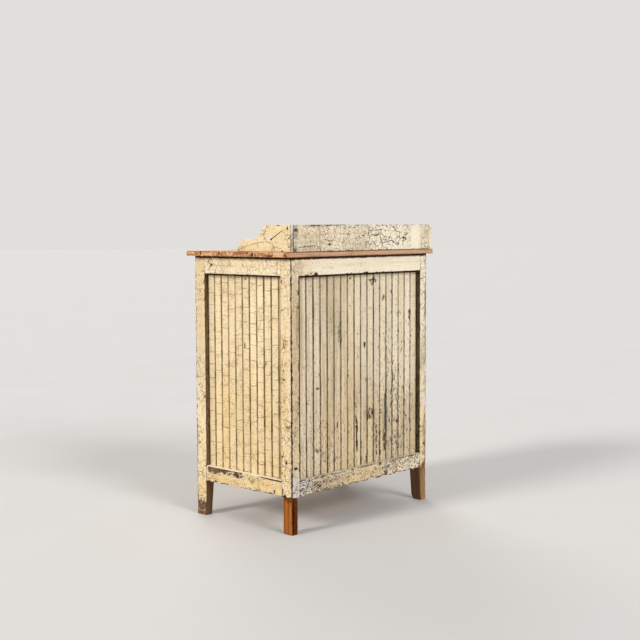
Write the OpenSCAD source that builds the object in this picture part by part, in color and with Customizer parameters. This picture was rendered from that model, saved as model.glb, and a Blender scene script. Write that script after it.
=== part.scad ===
// Tall storage cabinet. Four corner posts run down into legs and carry mortised rails. The ends
// and back are tongue-and-groove beadboard. A plank counter with a scrolled gallery lies on top.
// Two beadboard doors on butt hinges close the front over a floor and two shelves.
// The front faces -Y, the floor is at Z = 0 and the origin is under the middle of the whole.

/* [Body] */
// Width over the corner posts
body_w = 820; // [700:1:1000]
// Depth over the corner posts
body_d = 534; // [500:1:640]
// Height of the counter's underside above the floor
body_h = 1048; // [940:1:1150]
// Height of the legs below the bottom rails
leg_h = 141; // [100:1:180]

/* [Corner posts] */
// Size of a post across the width
post_w = 41; // [38:1:50]
// Size of a post across the depth
post_d = 55; // [48:1:66]
// Narrowing of a leg across the width at the floor
taper_w = 9; // [2:1:12]
// Narrowing of a leg across the depth at the floor
taper_d = 5; // [2:1:10]
// Height of the clipped inner corner at the foot of the rear left leg
clip_h = 22; // [10:1:60]
// Depth of that clipped corner
clip_d = 8; // [2:1:12]

/* [New foot] */
// Size of the replaced rear right foot across the width
foot_w = 31; // [26:1:38]
// Size of the replaced rear right foot across the depth
foot_d = 47; // [40:1:48]
// Diameter of the round tenon that holds the foot in its post
peg_dia = 12; // [8:0.5:12]
// Length of that tenon
peg_l = 38; // [20:1:50]

/* [Rails] */
// Height of the top rails
top_rail_h = 70; // [56:1:90]
// Height of the bottom rails
bottom_rail_h = 64; // [50:1:80]
// Thickness of the rail tenons
tenon_t = 8; // [6:0.5:8]
// Length of the rail tenons
tenon_l = 22; // [16:1:22]
// Shoulder above and below each tenon
tenon_shoulder = 12; // [12:1:16]
// Distance from the outer face to the tenons
tenon_set = 9; // [7:0.5:9]
// Play of each tenon in its mortise
joint_play = 0.3; // [0.2:0.1:0.6]

/* [Beadboard] */
// Width that each board covers, with two beads to a board
board_w = 79.4; // [60:0.1:100]
// Thickness of the boards
board_t = 10.5; // [8:0.5:11]
// Radius of the beads
bead_r = 2.5; // [1.8:0.1:3]
// Width of the sunk line on each side of a bead
quirk_w = 1.5; // [1:0.1:2.5]
// Length of the tongues
tongue_l = 5; // [4:0.5:6]
// Thickness of the tongues
tongue_t = 3; // [2.5:0.5:3.5]
// Shrinkage gap between neighbouring boards
board_gap = 0.5; // [0.3:0.1:1]
// Depth of the panels behind the faces of the frame
recess = 19; // [15:0.5:19]
// How far the boards reach into the posts
housing = 7; // [5:0.5:8]
// Height of the rabbets that hold the boards in the rails
rabbet_h = 10; // [8:0.5:11]
// From the front post to the first bead of an end panel
end_first_bead = 37.6; // [10:0.1:60]
// From the right-hand post to the first bead of the back panel
back_first_bead = 19.8; // [10:0.1:60]

/* [Counter] */
// Thickness of the counter boards
counter_t = 20; // [16:1:30]
// Overhang of the counter at each end
end_overhang = 28; // [18:1:40]
// Overhang of the counter at the front
front_overhang = 19; // [10:1:24]
// Overhang of the counter at the back
back_overhang = 14; // [8:1:24]
// Width of the front counter board
front_plank = 176; // [120:1:200]
// Width of the second counter board
second_plank = 94; // [60:1:110]
// Width of the third counter board
third_plank = 213; // [120:1:230]
// Rounding of the counter's front edge
nosing_r = 4; // [2:0.5:7]

/* [Gallery] */
// Height of the gallery above the counter
gallery_h = 102; // [70:1:140]
// Thickness of the gallery boards
gallery_t = 16; // [12:1:20]
// How far the gallery stands in from the ends of the counter
gallery_inset = 12; // [2:1:24]
// Length of a scrolled end along the counter
scroll_l = 289; // [250:1:340]
// Length of its straight top
scroll_top = 138; // [90:1:150]
// Height of the rounded toe of the scroll
toe_h = 49; // [35:1:55]
// Length of the rounded toe of the scroll
toe_l = 70; // [45:1:75]
// Length of the flat between the toe and the hollow
toe_flat = 12; // [4:1:30]

/* [Inside] */
// Thickness of the floor and the shelves
shelf_t = 18; // [14:1:22]
// How far the floor stands above the bottom rails as a stop for the doors
floor_lip = 8; // [5:1:12]
// Distance of the shelves' front edges behind the front
shelf_set = 40; // [36:1:50]
// Thickness of the cleats
cleat_t = 18; // [14:1:24]
// Height of the cleats
cleat_h = 28; // [20:1:36]
// Thickness of the door stop behind the top rail
stop_t = 16; // [15:1:20]
// How far the door stop hangs below the top rail
stop_drop = 12; // [8:1:16]

/* [Doors] */
// Thickness of the door frames
door_t = 22; // [20:0.5:25]
// Gap around and between the doors
door_gap = 2.5; // [2.5:0.1:3.5]
// Width of the door stiles
stile_w = 52; // [46:1:64]
// Height of the doors' top rails
door_top_h = 56; // [44:1:70]
// Height of the doors' bottom rails
door_bottom_h = 66; // [50:1:80]
// Depth of the door panels behind the faces of the doors
door_recess = 6; // [4:0.5:6.5]
// From a door's lock stile to its first bead
door_first_bead = 20; // [10:0.1:60]

/* [Hinges] */
// Height of a hinge
hinge_h = 63; // [50:1:76]
// Distance of the hinges from the ends of a door
hinge_set = 95; // [84:1:140]
// Thickness of a hinge leaf
leaf_t = 2; // [1.8:0.1:2.2]
// Depth of a hinge leaf behind the faces
leaf_d = 19; // [15:1:19]
// Outer radius of the knuckles
knuckle_r = 3.75; // [3.5:0.05:3.8]
// Radius of the hinge pins
pin_r = 1.9; // [1.6:0.05:2.1]
// Running clearance of the pins in their knuckles
pin_play = 0.05; // [0.02:0.01:0.1]

/* [Knobs and latch] */
// Height of the knobs above the floor
knob_z = 600; // [560:1:640]
// Diameter of the knobs
knob_dia = 30; // [26:1:36]
// Reach of the knobs in front of the doors
knob_reach = 28; // [26:1:40]
// Radius of the latch spindle
spindle_r = 4; // [3:0.25:5]
// Length of the latch's pawl from the middle of its spindle
pawl_l = 44; // [42:1:50]
// Width of the pawl
pawl_w = 15; // [13:1:18]
// Thickness of the pawl
pawl_t = 3; // [2:0.5:4]

/* [Slide bolt] */
// Radius of the slide bolt
bolt_r = 4; // [3:0.25:4.5]
// Length of the slide bolt
bolt_l = 92; // [90:1:110]
// Travel of the slide bolt
bolt_travel = 16; // [12:1:18]
// Width of the plate that the bolt slides on
bolt_plate_w = 32; // [30:1:40]

/* [Hidden] */
$fn = 48;

cream = [0.93, 0.85, 0.66];
bare_pine = [0.66, 0.40, 0.27];
new_fir = [0.72, 0.41, 0.14];
inner_pine = [0.74, 0.58, 0.40];
iron = [0.20, 0.19, 0.18];
steel = [0.45, 0.44, 0.42];

cut = 1;                    // how far a cutting shape runs past the face that it opens
side_play = 0.25;           // on each side of a board in its groove
end_play = 1;               // beyond the ends of boards, tenons and shelves

// The knobs reach furthest forward and the counter furthest back.
front_y = -(body_d + back_overhang - knob_reach) / 2;
back_y = front_y + body_d;

// Levels
bottom_rail_top = leg_h + bottom_rail_h;
top_rail_bottom = body_h - top_rail_h;
counter_top = body_h + counter_t;
floor_top = bottom_rail_top + floor_lip;
clear_h = top_rail_bottom - floor_top;
lower_shelf_top = floor_top + clear_h / 3;
upper_shelf_top = floor_top + clear_h * 2 / 3;

// Frame and panels
front_span = body_w - 2 * post_w;
end_span = body_d - 2 * post_d;
groove_w = board_t + 2 * side_play;
rail_t = recess + groove_w;
seat_play = 0.5;            // between the doors and their stops
front_rail_t = door_t + seat_play;
panel_z = bottom_rail_top - rabbet_h;
panel_h = top_rail_bottom + rabbet_h - end_play - panel_z;
bead_edge = bead_r + quirk_w;
tongue_y = bead_r + (board_t - bead_r - tongue_t) / 2;
tongue_play = 0.25;

// New foot
peg_x = (post_w - tenon_l - end_play) / 2 + 1;
peg_y = (post_d - tenon_l - end_play) / 2 + 2;

// Counter and gallery
counter_w = body_w + 2 * end_overhang;
counter_d = front_overhang + body_d + back_overhang;
plank_edges = [0, front_plank, front_plank + second_plank,
               front_plank + second_plank + third_plank, counter_d];
plank_gap = 0.3;
gallery_x = body_w / 2 + end_overhang - gallery_inset;
gallery_y = back_y + back_overhang;
arc_steps = 10;

// Doors
door_w = (front_span - 3 * door_gap) / 2;
door_z = bottom_rail_top + door_gap;
door_h = top_rail_bottom - door_gap - door_z;
door_tenon_l = stile_w - 16;
door_tenon_set = (door_t - tenon_t) / 2;
door_span = door_w - 2 * stile_w;

// Hinges
hinge_levels = [door_z + hinge_set, door_z + door_h - hinge_set - hinge_h];
hinge_x = body_w / 2 - post_w - door_gap / 2;
hinge_y = knuckle_r + 0.25;         // the pin's distance in front of the faces
leaf_gap = 0.25;                    // from a leaf to the plane through the pin
leaf_play = 0.1;                    // around a leaf in the wood
leaf_sink = leaf_t + leaf_gap - door_gap / 2 + leaf_play / 2;
knuckle_h = hinge_h / 5;
knuckle_play = 0.3;
notch_r = knuckle_r + 0.4;
pin_head_r = 2.9;
pin_head_h = 2.4;
pin_stand = 0.2;
screw_r = 1.8;
screw_head_r = 3.4;
screw_play = 0.05;
screw_l = 15;
hinge_screw_levels = [0.16, 0.5, 0.84] * hinge_h;
hinge_screw_y = hinge_y + leaf_d * 0.55;

// Knobs and latch
knob_x = (door_gap + stile_w) / 2;
knob_r = knob_dia / 2;
knob_roll = 3.85;                   // radius of the knob's rounded rim
neck_r = 6;
rosette_r = 15;
rosette_t = 2.5;
spindle_play = 0.06;
turn_gap = 0.3;                     // from the turning knob to its rosette
pawl_stand = 1.5;                   // from the door's inner face to the pawl
nut_t = 4;
nut_r = 7;

// Slide bolt
bolt_stand = 8;                     // from the door's inner face to the middle of the bolt
bolt_play = 0.06;
bolt_hole_play = 0.6;
bolt_plate_t = 2;
guide_l = 12;
guide_r = bolt_r + bolt_play + 2.5;
grip_r = 2.5;
grip_room = 5;
bolt_plate_l = 2 * guide_l + bolt_travel + 2 * grip_r + 5 * grip_room;
bolt_top = top_rail_bottom - stop_drop - 3;
bolt_plate_z = bolt_top - 4 - bolt_plate_l;
bolt_screw_l = 8;
bolt_screw_x = bolt_plate_w / 2 - 4.5;
bolt_screw_z = guide_l + 8;

// A corner of the body, seen from its outer edge: the post grows along +X and +Y.
module at_corner(side_x, side_y) {
    translate([side_x * body_w / 2, side_y > 0 ? back_y : front_y, 0])
        mirror([side_x > 0 ? 1 : 0, 0, 0])
            mirror([0, side_y > 0 ? 1 : 0, 0])
                children();
}

// A face of the body, seen from outside: X runs to the right from the corner and Y inwards.
module on_front(z) {
    translate([-body_w / 2, front_y, z]) children();
}

module on_right(z) {
    translate([body_w / 2, front_y, z]) rotate([0, 0, 90]) children();
}

module on_back(z) {
    translate([body_w / 2, back_y, z]) rotate([0, 0, 180]) children();
}

// Things drawn on the right end, or mirrored to the left one
module on_side(side_x) {
    mirror([side_x < 0 ? 1 : 0, 0, 0]) children();
}

module both_sides() {
    for (side_x = [-1, 1]) on_side(side_x) children();
}

// Corner posts
module post_blank(z) {
    translate([0, 0, z]) cube([post_w, post_d, body_h - z]);
}

module tapered_blank(clip) {
    intersection() {
        translate([0, post_d, 0]) rotate([90, 0, 0]) linear_extrude(post_d)
            polygon([[0, 0], [post_w - taper_w, 0], [post_w, leg_h], [post_w, body_h], [0, body_h]]);
        rotate([90, 0, 90]) linear_extrude(post_w)
            polygon(concat([[0, 0], [post_d - taper_d - clip, 0]],
                           clip > 0 ? [[post_d - taper_d * (1 - clip_h / leg_h), clip_h]] : [],
                           [[post_d, leg_h], [post_d, body_h], [0, body_h]]));
    }
}

// Mortise and groove in the side that looks along +Y, for the end rails and boards
module end_cuts() {
    for (rail = [[leg_h, bottom_rail_h], [top_rail_bottom, top_rail_h]])
        translate([tenon_set - joint_play, post_d - tenon_l - end_play,
                   rail[0] + tenon_shoulder - joint_play])
            cube([tenon_t + 2 * joint_play, tenon_l + end_play + cut,
                  rail[1] - 2 * tenon_shoulder + 2 * joint_play]);
    translate([recess, post_d - housing - end_play, panel_z])
        cube([groove_w, housing + end_play + cut, panel_h + end_play]);
}

// Mortises, and a groove at the back, in the side that looks along +X
module cross_cuts(grooved) {
    for (rail = [[leg_h, bottom_rail_h], [top_rail_bottom, top_rail_h]])
        translate([post_w - tenon_l - end_play, tenon_set - joint_play,
                   rail[0] + tenon_shoulder - joint_play])
            cube([tenon_l + end_play + cut, tenon_t + 2 * joint_play,
                  rail[1] - 2 * tenon_shoulder + 2 * joint_play]);
    if (grooved)
        translate([post_w - housing - end_play, recess, panel_z])
            cube([housing + end_play + cut, groove_w, panel_h + end_play]);
}

// Sinking for the hinge leaves, in an edge at X = 0 that runs up from z
module leaf_sinkings(z) {
    for (level = hinge_levels)
        translate([-cut, -cut, level - z - leaf_play])
            cube([leaf_sink + cut, leaf_d + leaf_play + cut, hinge_h + 2 * leaf_play]);
}

module front_post(side_x) {
    color(cream) difference() {
        at_corner(side_x, -1) difference() {
            tapered_blank(0);
            end_cuts();
            cross_cuts(false);
            translate([post_w, 0, 0]) mirror([1, 0, 0]) leaf_sinkings(0);
        }
        on_side(side_x) hinge_screw_set(1, screw_play);
    }
}

module rear_post_left() {
    color(cream) at_corner(-1, 1) difference() {
        tapered_blank(clip_d);
        end_cuts();
        cross_cuts(true);
    }
}

module rear_post_right() {
    color(cream) at_corner(1, 1) difference() {
        post_blank(leg_h);
        end_cuts();
        cross_cuts(true);
        translate([peg_x, peg_y, leg_h - cut])
            cylinder(r = peg_dia / 2 + joint_play, h = cut + peg_l + end_play);
    }
}

// The rear right foot is a later length of bare fir, pegged up into its post.
module foot_rear_right() {
    color(new_fir) at_corner(1, 1) {
        cube([foot_w, foot_d, leg_h]);
        translate([peg_x, peg_y, leg_h - cut]) cylinder(r = peg_dia / 2, h = cut + peg_l);
    }
}

// Rails. X runs along the rail from its shoulder, and Y inwards from the outer face.
module rail_blank(span, h, thick) {
    cube([span, thick, h]);
    translate([-tenon_l, tenon_set, tenon_shoulder])
        cube([span + 2 * tenon_l, tenon_t, h - 2 * tenon_shoulder]);
}

module bottom_rail(span) {
    difference() {
        rail_blank(span, bottom_rail_h, rail_t);
        translate([-cut, recess, bottom_rail_h - rabbet_h])
            cube([span + 2 * cut, groove_w + cut, rabbet_h + cut]);
    }
}

module top_rail(span) {
    difference() {
        rail_blank(span, top_rail_h, rail_t);
        translate([-cut, recess, -cut])
            cube([span + 2 * cut, groove_w + cut, rabbet_h + cut]);
    }
}

module end_top_rail(side_x) {
    color(cream) on_side(side_x) on_right(top_rail_bottom)
        translate([post_d, 0, 0]) top_rail(end_span);
}

module end_bottom_rail(side_x) {
    color(cream) on_side(side_x) on_right(leg_h)
        translate([post_d, 0, 0]) bottom_rail(end_span);
}

module back_top_rail() {
    color(cream) on_back(top_rail_bottom) translate([post_w, 0, 0]) top_rail(front_span);
}

module back_bottom_rail() {
    color(cream) on_back(leg_h) translate([post_w, 0, 0]) bottom_rail(front_span);
}

module front_top_rail() {
    color(cream) on_front(top_rail_bottom) translate([post_w, 0, 0])
        rail_blank(front_span, top_rail_h, front_rail_t);
}

module front_bottom_rail() {
    color(cream) on_front(leg_h) translate([post_w, 0, 0])
        rail_blank(front_span, bottom_rail_h, front_rail_t);
}

// Beadboard in section: a bead at the middle and one at the tongue edge, the face at Y = 0
module board_section() {
    beads = [board_w / 2 - bead_edge, board_w - bead_edge];
    difference() {
        union() {
            square([board_w - board_gap, board_t]);
            translate([board_w / 2, tongue_y])
                square([board_w / 2 + tongue_l - board_gap, tongue_t]);
        }
        translate([-cut, tongue_y - tongue_play])
            square([tongue_l + cut, tongue_t + 2 * tongue_play]);
        for (x = beads)
            translate([x - bead_edge, -cut]) square([2 * bead_edge, bead_r + cut]);
    }
    for (x = beads)
        translate([x, bead_r]) circle(bead_r);
}

// A row of boards with a bead at first_bead. The outer boards are ripped to fit the width.
module bead_panel(width, height, first_bead) {
    start = first_bead + bead_edge - board_w;
    count = ceil((width - housing - first_bead - bead_edge) / board_w) + 1;
    for (i = [0 : count - 1])
        linear_extrude(height) intersection() {
            translate([start + i * board_w, 0]) board_section();
            square([width, board_t]);
        }
}

module end_boards(side_x) {
    color(cream) on_side(side_x) on_right(panel_z)
        translate([post_d - housing, recess + side_play, 0])
            bead_panel(end_span + 2 * housing, panel_h, housing + end_first_bead);
}

module back_boards() {
    color(cream) on_back(panel_z)
        translate([post_w - housing, recess + side_play, 0])
            bead_panel(front_span + 2 * housing, panel_h, housing + back_first_bead);
}

// Counter: four planks along the width, the front one with a rounded edge
module nosed_plank(depth) {
    rotate([90, 0, 90]) linear_extrude(counter_w) {
        translate([nosing_r, 0]) square([depth - nosing_r, counter_t]);
        translate([0, nosing_r]) square([depth, counter_t - 2 * nosing_r]);
        for (z = [nosing_r, counter_t - nosing_r])
            translate([nosing_r, z]) circle(nosing_r);
    }
}

module counter_board(i) {
    last = len(plank_edges) - 2;
    depth = plank_edges[i + 1] - plank_edges[i] - (i < last ? plank_gap : 0);
    color(bare_pine) translate([-counter_w / 2, front_y - front_overhang + plank_edges[i], body_h])
        if (i == 0) nosed_plank(depth);
        else cube([counter_w, depth, counter_t]);
}

// Scroll outline from the toe up to the straight top, X running towards the back
function toe_points() =
    [for (k = [0 : arc_steps]) let (a = 90 * k / arc_steps)
        [toe_l * (1 - cos(a)), toe_h * sin(a)]];

function hollow_points() =
    let (run = scroll_l - scroll_top - toe_l - toe_flat,
         rise = gallery_h - toe_h,
         sweep = 60)
    [for (k = [0 : arc_steps]) let (a = sweep * k / arc_steps)
        [toe_l + toe_flat + run * sin(a) / sin(sweep),
         toe_h + rise * (1 - cos(a)) / (1 - cos(sweep))]];

module gallery_end(side_x) {
    color(cream) on_side(side_x)
        translate([gallery_x - gallery_t, gallery_y - scroll_l, counter_top])
            rotate([90, 0, 90]) linear_extrude(gallery_t)
                polygon(concat(toe_points(), hollow_points(), [[scroll_l, gallery_h], [scroll_l, 0]]));
}

module gallery_back() {
    half = gallery_x - gallery_t;
    color(cream) translate([-half, gallery_y - gallery_t, counter_top])
        cube([2 * half, gallery_t, gallery_h]);
}

// Floor and shelves, notched around the four posts
module notched_shelf(z, set_back) {
    narrow = body_w / 2 - post_w - end_play;
    wide = body_w / 2 - rail_t - end_play;
    back_edge = back_y - rail_t - end_play;
    color(inner_pine) translate([0, 0, z]) linear_extrude(shelf_t) {
        translate([-narrow, front_y + set_back])
            square([2 * narrow, back_edge - front_y - set_back]);
        translate([-wide, front_y + post_d + end_play])
            square([2 * wide, end_span - 2 * end_play]);
    }
}

// Cleats along the end rails, between the posts
module rail_cleats(z) {
    color(inner_pine) both_sides()
        translate([body_w / 2 - rail_t - cleat_t, front_y + post_d, z])
            cube([cleat_t, end_span, cleat_h]);
}

// Cleats under a shelf, across the inner sides of the posts
module post_cleats(z) {
    color(inner_pine) both_sides()
        translate([body_w / 2 - post_w - cleat_t, front_y + shelf_set, z])
            cube([cleat_t, body_d - shelf_set - rail_t - end_play, cleat_h]);
}

module door_stop() {
    color(inner_pine) difference() {
        translate([-front_span / 2 + side_play, front_y + front_rail_t, top_rail_bottom - stop_drop])
            cube([front_span - 2 * side_play, stop_t, 2 * stop_drop]);
        translate([-knob_x, front_y + door_t + bolt_stand, top_rail_bottom - stop_drop - cut])
            cylinder(r = bolt_r + bolt_hole_play, h = 2 * stop_drop + 2 * cut);
    }
}

// Doors. X runs from the lock edge to the hinge edge, and Y inwards from the face.
module at_door(side_x) {
    on_side(side_x) translate([door_gap / 2, front_y, door_z]) children();
}

module stile_blank() {
    difference() {
        cube([stile_w, door_t, door_h]);
        translate([stile_w - housing - end_play, door_recess, door_bottom_h - housing - end_play])
            cube([housing + end_play + cut, groove_w,
                  door_h - door_top_h - door_bottom_h + 2 * (housing + end_play)]);
        for (rail = [[0, door_bottom_h], [door_h - door_top_h, door_top_h]])
            translate([stile_w - door_tenon_l - end_play, door_tenon_set - joint_play,
                       rail[0] + tenon_shoulder - joint_play])
                cube([door_tenon_l + end_play + cut, tenon_t + 2 * joint_play,
                      rail[1] - 2 * tenon_shoulder + 2 * joint_play]);
    }
}

module hinge_stile(side_x) {
    color(cream) difference() {
        at_door(side_x) translate([door_w, 0, 0]) mirror([1, 0, 0]) difference() {
            stile_blank();
            leaf_sinkings(door_z);
        }
        on_side(side_x) hinge_screw_set(-1, screw_play);
    }
}

module lock_stile_left() {
    color(cream) difference() {
        at_door(-1) stile_blank();
        knob_screw(screw_play);
        bolt_screw_set(screw_play);
    }
}

module lock_stile_right() {
    color(cream) difference() {
        at_door(1) stile_blank();
        on_knob(1) translate([0, 0, -door_t - cut])
            cylinder(r = spindle_r + spindle_play, h = door_t + 2 * cut);
    }
}

// A door rail with its groove at groove_z
module door_rail(side_x, z, h, groove_z) {
    color(cream) at_door(side_x) translate([stile_w, 0, z]) difference() {
        union() {
            cube([door_span, door_t, h]);
            translate([-door_tenon_l, door_tenon_set, tenon_shoulder])
                cube([door_span + 2 * door_tenon_l, tenon_t, h - 2 * tenon_shoulder]);
        }
        translate([-cut, door_recess, groove_z])
            cube([door_span + 2 * cut, groove_w, housing + end_play + cut]);
    }
}

module door_top_rail(side_x) {
    door_rail(side_x, door_h - door_top_h, door_top_h, -cut);
}

module door_bottom_rail(side_x) {
    door_rail(side_x, 0, door_bottom_h, door_bottom_h - housing - end_play);
}

module door_boards(side_x) {
    color(cream) at_door(side_x)
        translate([stile_w - housing, door_recess + side_play, door_bottom_h - housing])
            bead_panel(door_span + 2 * housing, door_h - door_top_h - door_bottom_h + 2 * housing,
                       housing + door_first_bead);
}

// A hinge on the right door: the pin runs up Z, the post lies towards +X and the door towards -X.
module at_hinges() {
    for (z = hinge_levels)
        translate([hinge_x, front_y - hinge_y, z]) children();
}

// A countersunk screw, its head flush with the leaf, running into the wood at +X or -X
module hinge_screw(way, play) {
    translate([way * leaf_gap, hinge_screw_y, 0]) rotate([0, way * 90, 0]) {
        cylinder(r1 = screw_head_r + play, r2 = screw_r + play, h = leaf_t);
        cylinder(r = screw_r + play, h = screw_l + play);
    }
}

module hinge_screw_set(way, play) {
    at_hinges() for (z = hinge_screw_levels)
        translate([0, 0, z]) hinge_screw(way, play);
}

// One leaf with its knuckles, way is 1 for the post and -1 for the door
module hinge_leaf(way) {
    own = way > 0 ? [0, 2, 4] : [1, 3];
    others = way > 0 ? [1, 3] : [0, 2, 4];
    difference() {
        union() {
            translate([way > 0 ? leaf_gap : -leaf_gap - leaf_t, 0, 0])
                cube([leaf_t, hinge_y + leaf_d, hinge_h]);
            for (i = own)
                translate([0, 0, i * knuckle_h + knuckle_play / 2])
                    cylinder(r = knuckle_r, h = knuckle_h - knuckle_play);
        }
        for (i = others)
            translate([0, 0, i * knuckle_h - knuckle_play / 2])
                cylinder(r = notch_r, h = knuckle_h + knuckle_play);
        translate([0, 0, -cut]) cylinder(r = pin_r + pin_play, h = hinge_h + 2 * cut);
        for (z = hinge_screw_levels)
            translate([0, 0, z]) hinge_screw(way, screw_play);
    }
}

module hinge_leaves(side_x, way) {
    color(iron) on_side(side_x) at_hinges() hinge_leaf(way);
}

module pin_head() {
    rotate_extrude() intersection() {
        circle(pin_head_r);
        square([pin_head_r, pin_head_h]);
    }
}

module hinge_pins(side_x) {
    color(iron) on_side(side_x) at_hinges() {
        translate([0, 0, -pin_stand]) cylinder(r = pin_r, h = hinge_h + 2 * pin_stand);
        translate([0, 0, hinge_h + pin_stand]) pin_head();
        translate([0, 0, -pin_stand]) mirror([0, 0, 1]) pin_head();
    }
}

module hinge_screws(side_x, way) {
    color(iron) on_side(side_x) hinge_screw_set(way, 0);
}

// A place on a door's face where the knob stands, Z running out to the front
module on_knob(side_x) {
    translate([side_x * knob_x, front_y, knob_z]) rotate([90, 0, 0]) children();
}

// A turned mushroom knob on a short neck, standing on its rosette
module knob(stand) {
    h = knob_reach - stand;
    rim = knob_r - knob_roll;
    translate([0, 0, stand]) rotate_extrude() polygon(concat(
        [[0, 0], [neck_r + 2, 0], [neck_r, 3], [neck_r, h - 12]],
        [for (k = [0 : arc_steps]) let (a = 180 * k / arc_steps - 90)
            [rim + knob_roll * cos(a), h - 6.6 + knob_roll * sin(a)]],
        [for (k = [1 : arc_steps]) let (t = 1 - k / arc_steps)
            [rim * t, h - 2.75 * t * t]]
    ));
}

module rosette(side_x, hole_r) {
    color(iron) on_knob(side_x) difference() {
        union() {
            cylinder(r = rosette_r, h = rosette_t - 1);
            cylinder(r = rosette_r - 3, h = rosette_t);
        }
        translate([0, 0, -cut]) cylinder(r = hole_r, h = rosette_t + 2 * cut);
    }
}

module knob_screw(play) {
    on_knob(-1) translate([0, 0, -screw_l])
        cylinder(r = screw_r + play, h = screw_l + rosette_t + cut);
}

module fixed_knob() {
    color(iron) {
        on_knob(-1) knob(rosette_t);
        knob_screw(0);
    }
}

// Latch: the right knob's spindle turns a pawl behind the doors
module latch_knob() {
    back_l = door_t + pawl_stand + pawl_t + nut_t;
    color(iron) on_knob(1) {
        knob(rosette_t + turn_gap);
        translate([0, 0, -back_l]) cylinder(r = spindle_r, h = back_l + rosette_t + 2 * cut);
    }
}

// The pawl hangs straight down when the latch is open.
module latch_pawl() {
    tip_r = pawl_w / 2 - 1.5;
    color(iron) on_knob(1) translate([0, 0, -door_t - pawl_stand - pawl_t])
        linear_extrude(pawl_t) difference() {
            union() {
                circle(pawl_w / 2);
                translate([-tip_r, tip_r - pawl_l]) square([2 * tip_r, pawl_l - tip_r]);
                translate([0, tip_r - pawl_l]) circle(tip_r);
            }
            circle(spindle_r + spindle_play);
        }
}

module latch_nut() {
    color(steel) on_knob(1) translate([0, 0, -door_t - pawl_stand - pawl_t - nut_t])
        difference() {
            cylinder(r = nut_r, h = nut_t, $fn = 6);
            translate([0, 0, -cut]) cylinder(r = spindle_r + spindle_play, h = nut_t + 2 * cut);
        }
}

// Slide bolt, upright on the inner face of the left door's lock stile
module at_bolt(z) {
    translate([-knob_x, front_y + door_t, z]) children();
}

module bolt_screw_set(play) {
    at_bolt(bolt_plate_z)
        for (x = [-bolt_screw_x, bolt_screw_x], z = [bolt_screw_z, bolt_plate_l - bolt_screw_z])
            translate([x, bolt_plate_t, z]) rotate([90, 0, 0]) {
                cylinder(r1 = screw_head_r + play, r2 = screw_r + play, h = bolt_plate_t);
                cylinder(r = screw_r + play, h = bolt_screw_l + play);
            }
}

module bolt_plate() {
    color(iron) difference() {
        at_bolt(bolt_plate_z) {
            translate([-bolt_plate_w / 2, 0, 0]) cube([bolt_plate_w, bolt_plate_t, bolt_plate_l]);
            for (z = [0, bolt_plate_l - guide_l]) {
                translate([-guide_r, 0, z]) cube([2 * guide_r, bolt_stand, guide_l]);
                translate([0, bolt_stand, z]) cylinder(r = guide_r, h = guide_l);
            }
        }
        at_bolt(bolt_plate_z - cut) translate([0, bolt_stand, 0])
            cylinder(r = bolt_r + bolt_play, h = bolt_plate_l + 2 * cut);
        bolt_screw_set(screw_play);
    }
}

module bolt_screws() {
    color(iron) bolt_screw_set(0);
}

module bolt_rod() {
    color(steel) {
        at_bolt(bolt_top - bolt_l) translate([0, bolt_stand, 0]) cylinder(r = bolt_r, h = bolt_l);
        at_bolt(bolt_plate_z + guide_l + grip_room + grip_r) translate([0, bolt_stand, 0])
            rotate([-90, 0, 0]) {
                cylinder(r = grip_r, h = bolt_r + 6);
                translate([0, 0, bolt_r + 6]) sphere(grip_r + 1.5);
            }
    }
}

front_post(-1);  // post_front_left
front_post(1);  // post_front_right
rear_post_left();  // post_rear_left
rear_post_right();  // post_rear_right
foot_rear_right();
end_top_rail(-1);  // end_left_top_rail
end_bottom_rail(-1);  // end_left_bottom_rail
end_top_rail(1);  // end_right_top_rail
end_bottom_rail(1);  // end_right_bottom_rail
back_top_rail();
back_bottom_rail();
front_top_rail();
front_bottom_rail();
end_boards(-1);  // end_left_boards
end_boards(1);  // end_right_boards
back_boards();
notched_shelf(floor_top - shelf_t, front_rail_t);  // floor_board
notched_shelf(lower_shelf_top - shelf_t, shelf_set);  // lower_shelf
notched_shelf(upper_shelf_top - shelf_t, shelf_set);  // upper_shelf
rail_cleats(floor_top - shelf_t - cleat_h);  // floor_cleats
post_cleats(lower_shelf_top - shelf_t - cleat_h);  // lower_shelf_cleats
post_cleats(upper_shelf_top - shelf_t - cleat_h);  // upper_shelf_cleats
rail_cleats(body_h - cleat_h);  // counter_cleats
door_stop();
counter_board(0);  // counter_board_1
counter_board(1);  // counter_board_2
counter_board(2);  // counter_board_3
counter_board(3);  // counter_board_4
gallery_back();
gallery_end(-1);  // gallery_end_left
gallery_end(1);  // gallery_end_right
hinge_leaves(-1, 1);  // hinge_post_leaves_left
hinge_leaves(1, 1);  // hinge_post_leaves_right
hinge_pins(-1);  // hinge_pins_left
hinge_pins(1);  // hinge_pins_right
both_sides() hinge_screws(1, 1);  // hinge_post_screws
hinge_stile(-1);  // door_left_hinge_stile
lock_stile_left();  // door_left_lock_stile
door_top_rail(-1);  // door_left_top_rail
door_bottom_rail(-1);  // door_left_bottom_rail
door_boards(-1);  // door_left_boards
hinge_leaves(-1, -1);  // door_left_hinge_leaves
hinge_screws(-1, -1);  // door_left_hinge_screws
rosette(-1, screw_r + screw_play);  // door_left_rosette
fixed_knob();  // door_left_knob
bolt_plate();
bolt_screws();
bolt_rod();
hinge_stile(1);  // door_right_hinge_stile
lock_stile_right();  // door_right_lock_stile
door_top_rail(1);  // door_right_top_rail
door_bottom_rail(1);  // door_right_bottom_rail
door_boards(1);  // door_right_boards
hinge_leaves(1, -1);  // door_right_hinge_leaves
hinge_screws(1, -1);  // door_right_hinge_screws
rosette(1, spindle_r + spindle_play);  // door_right_rosette
latch_knob();
latch_pawl();
latch_nut();
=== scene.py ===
import math
import bpy
import bmesh
from mathutils import Matrix, Vector, noise


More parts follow.
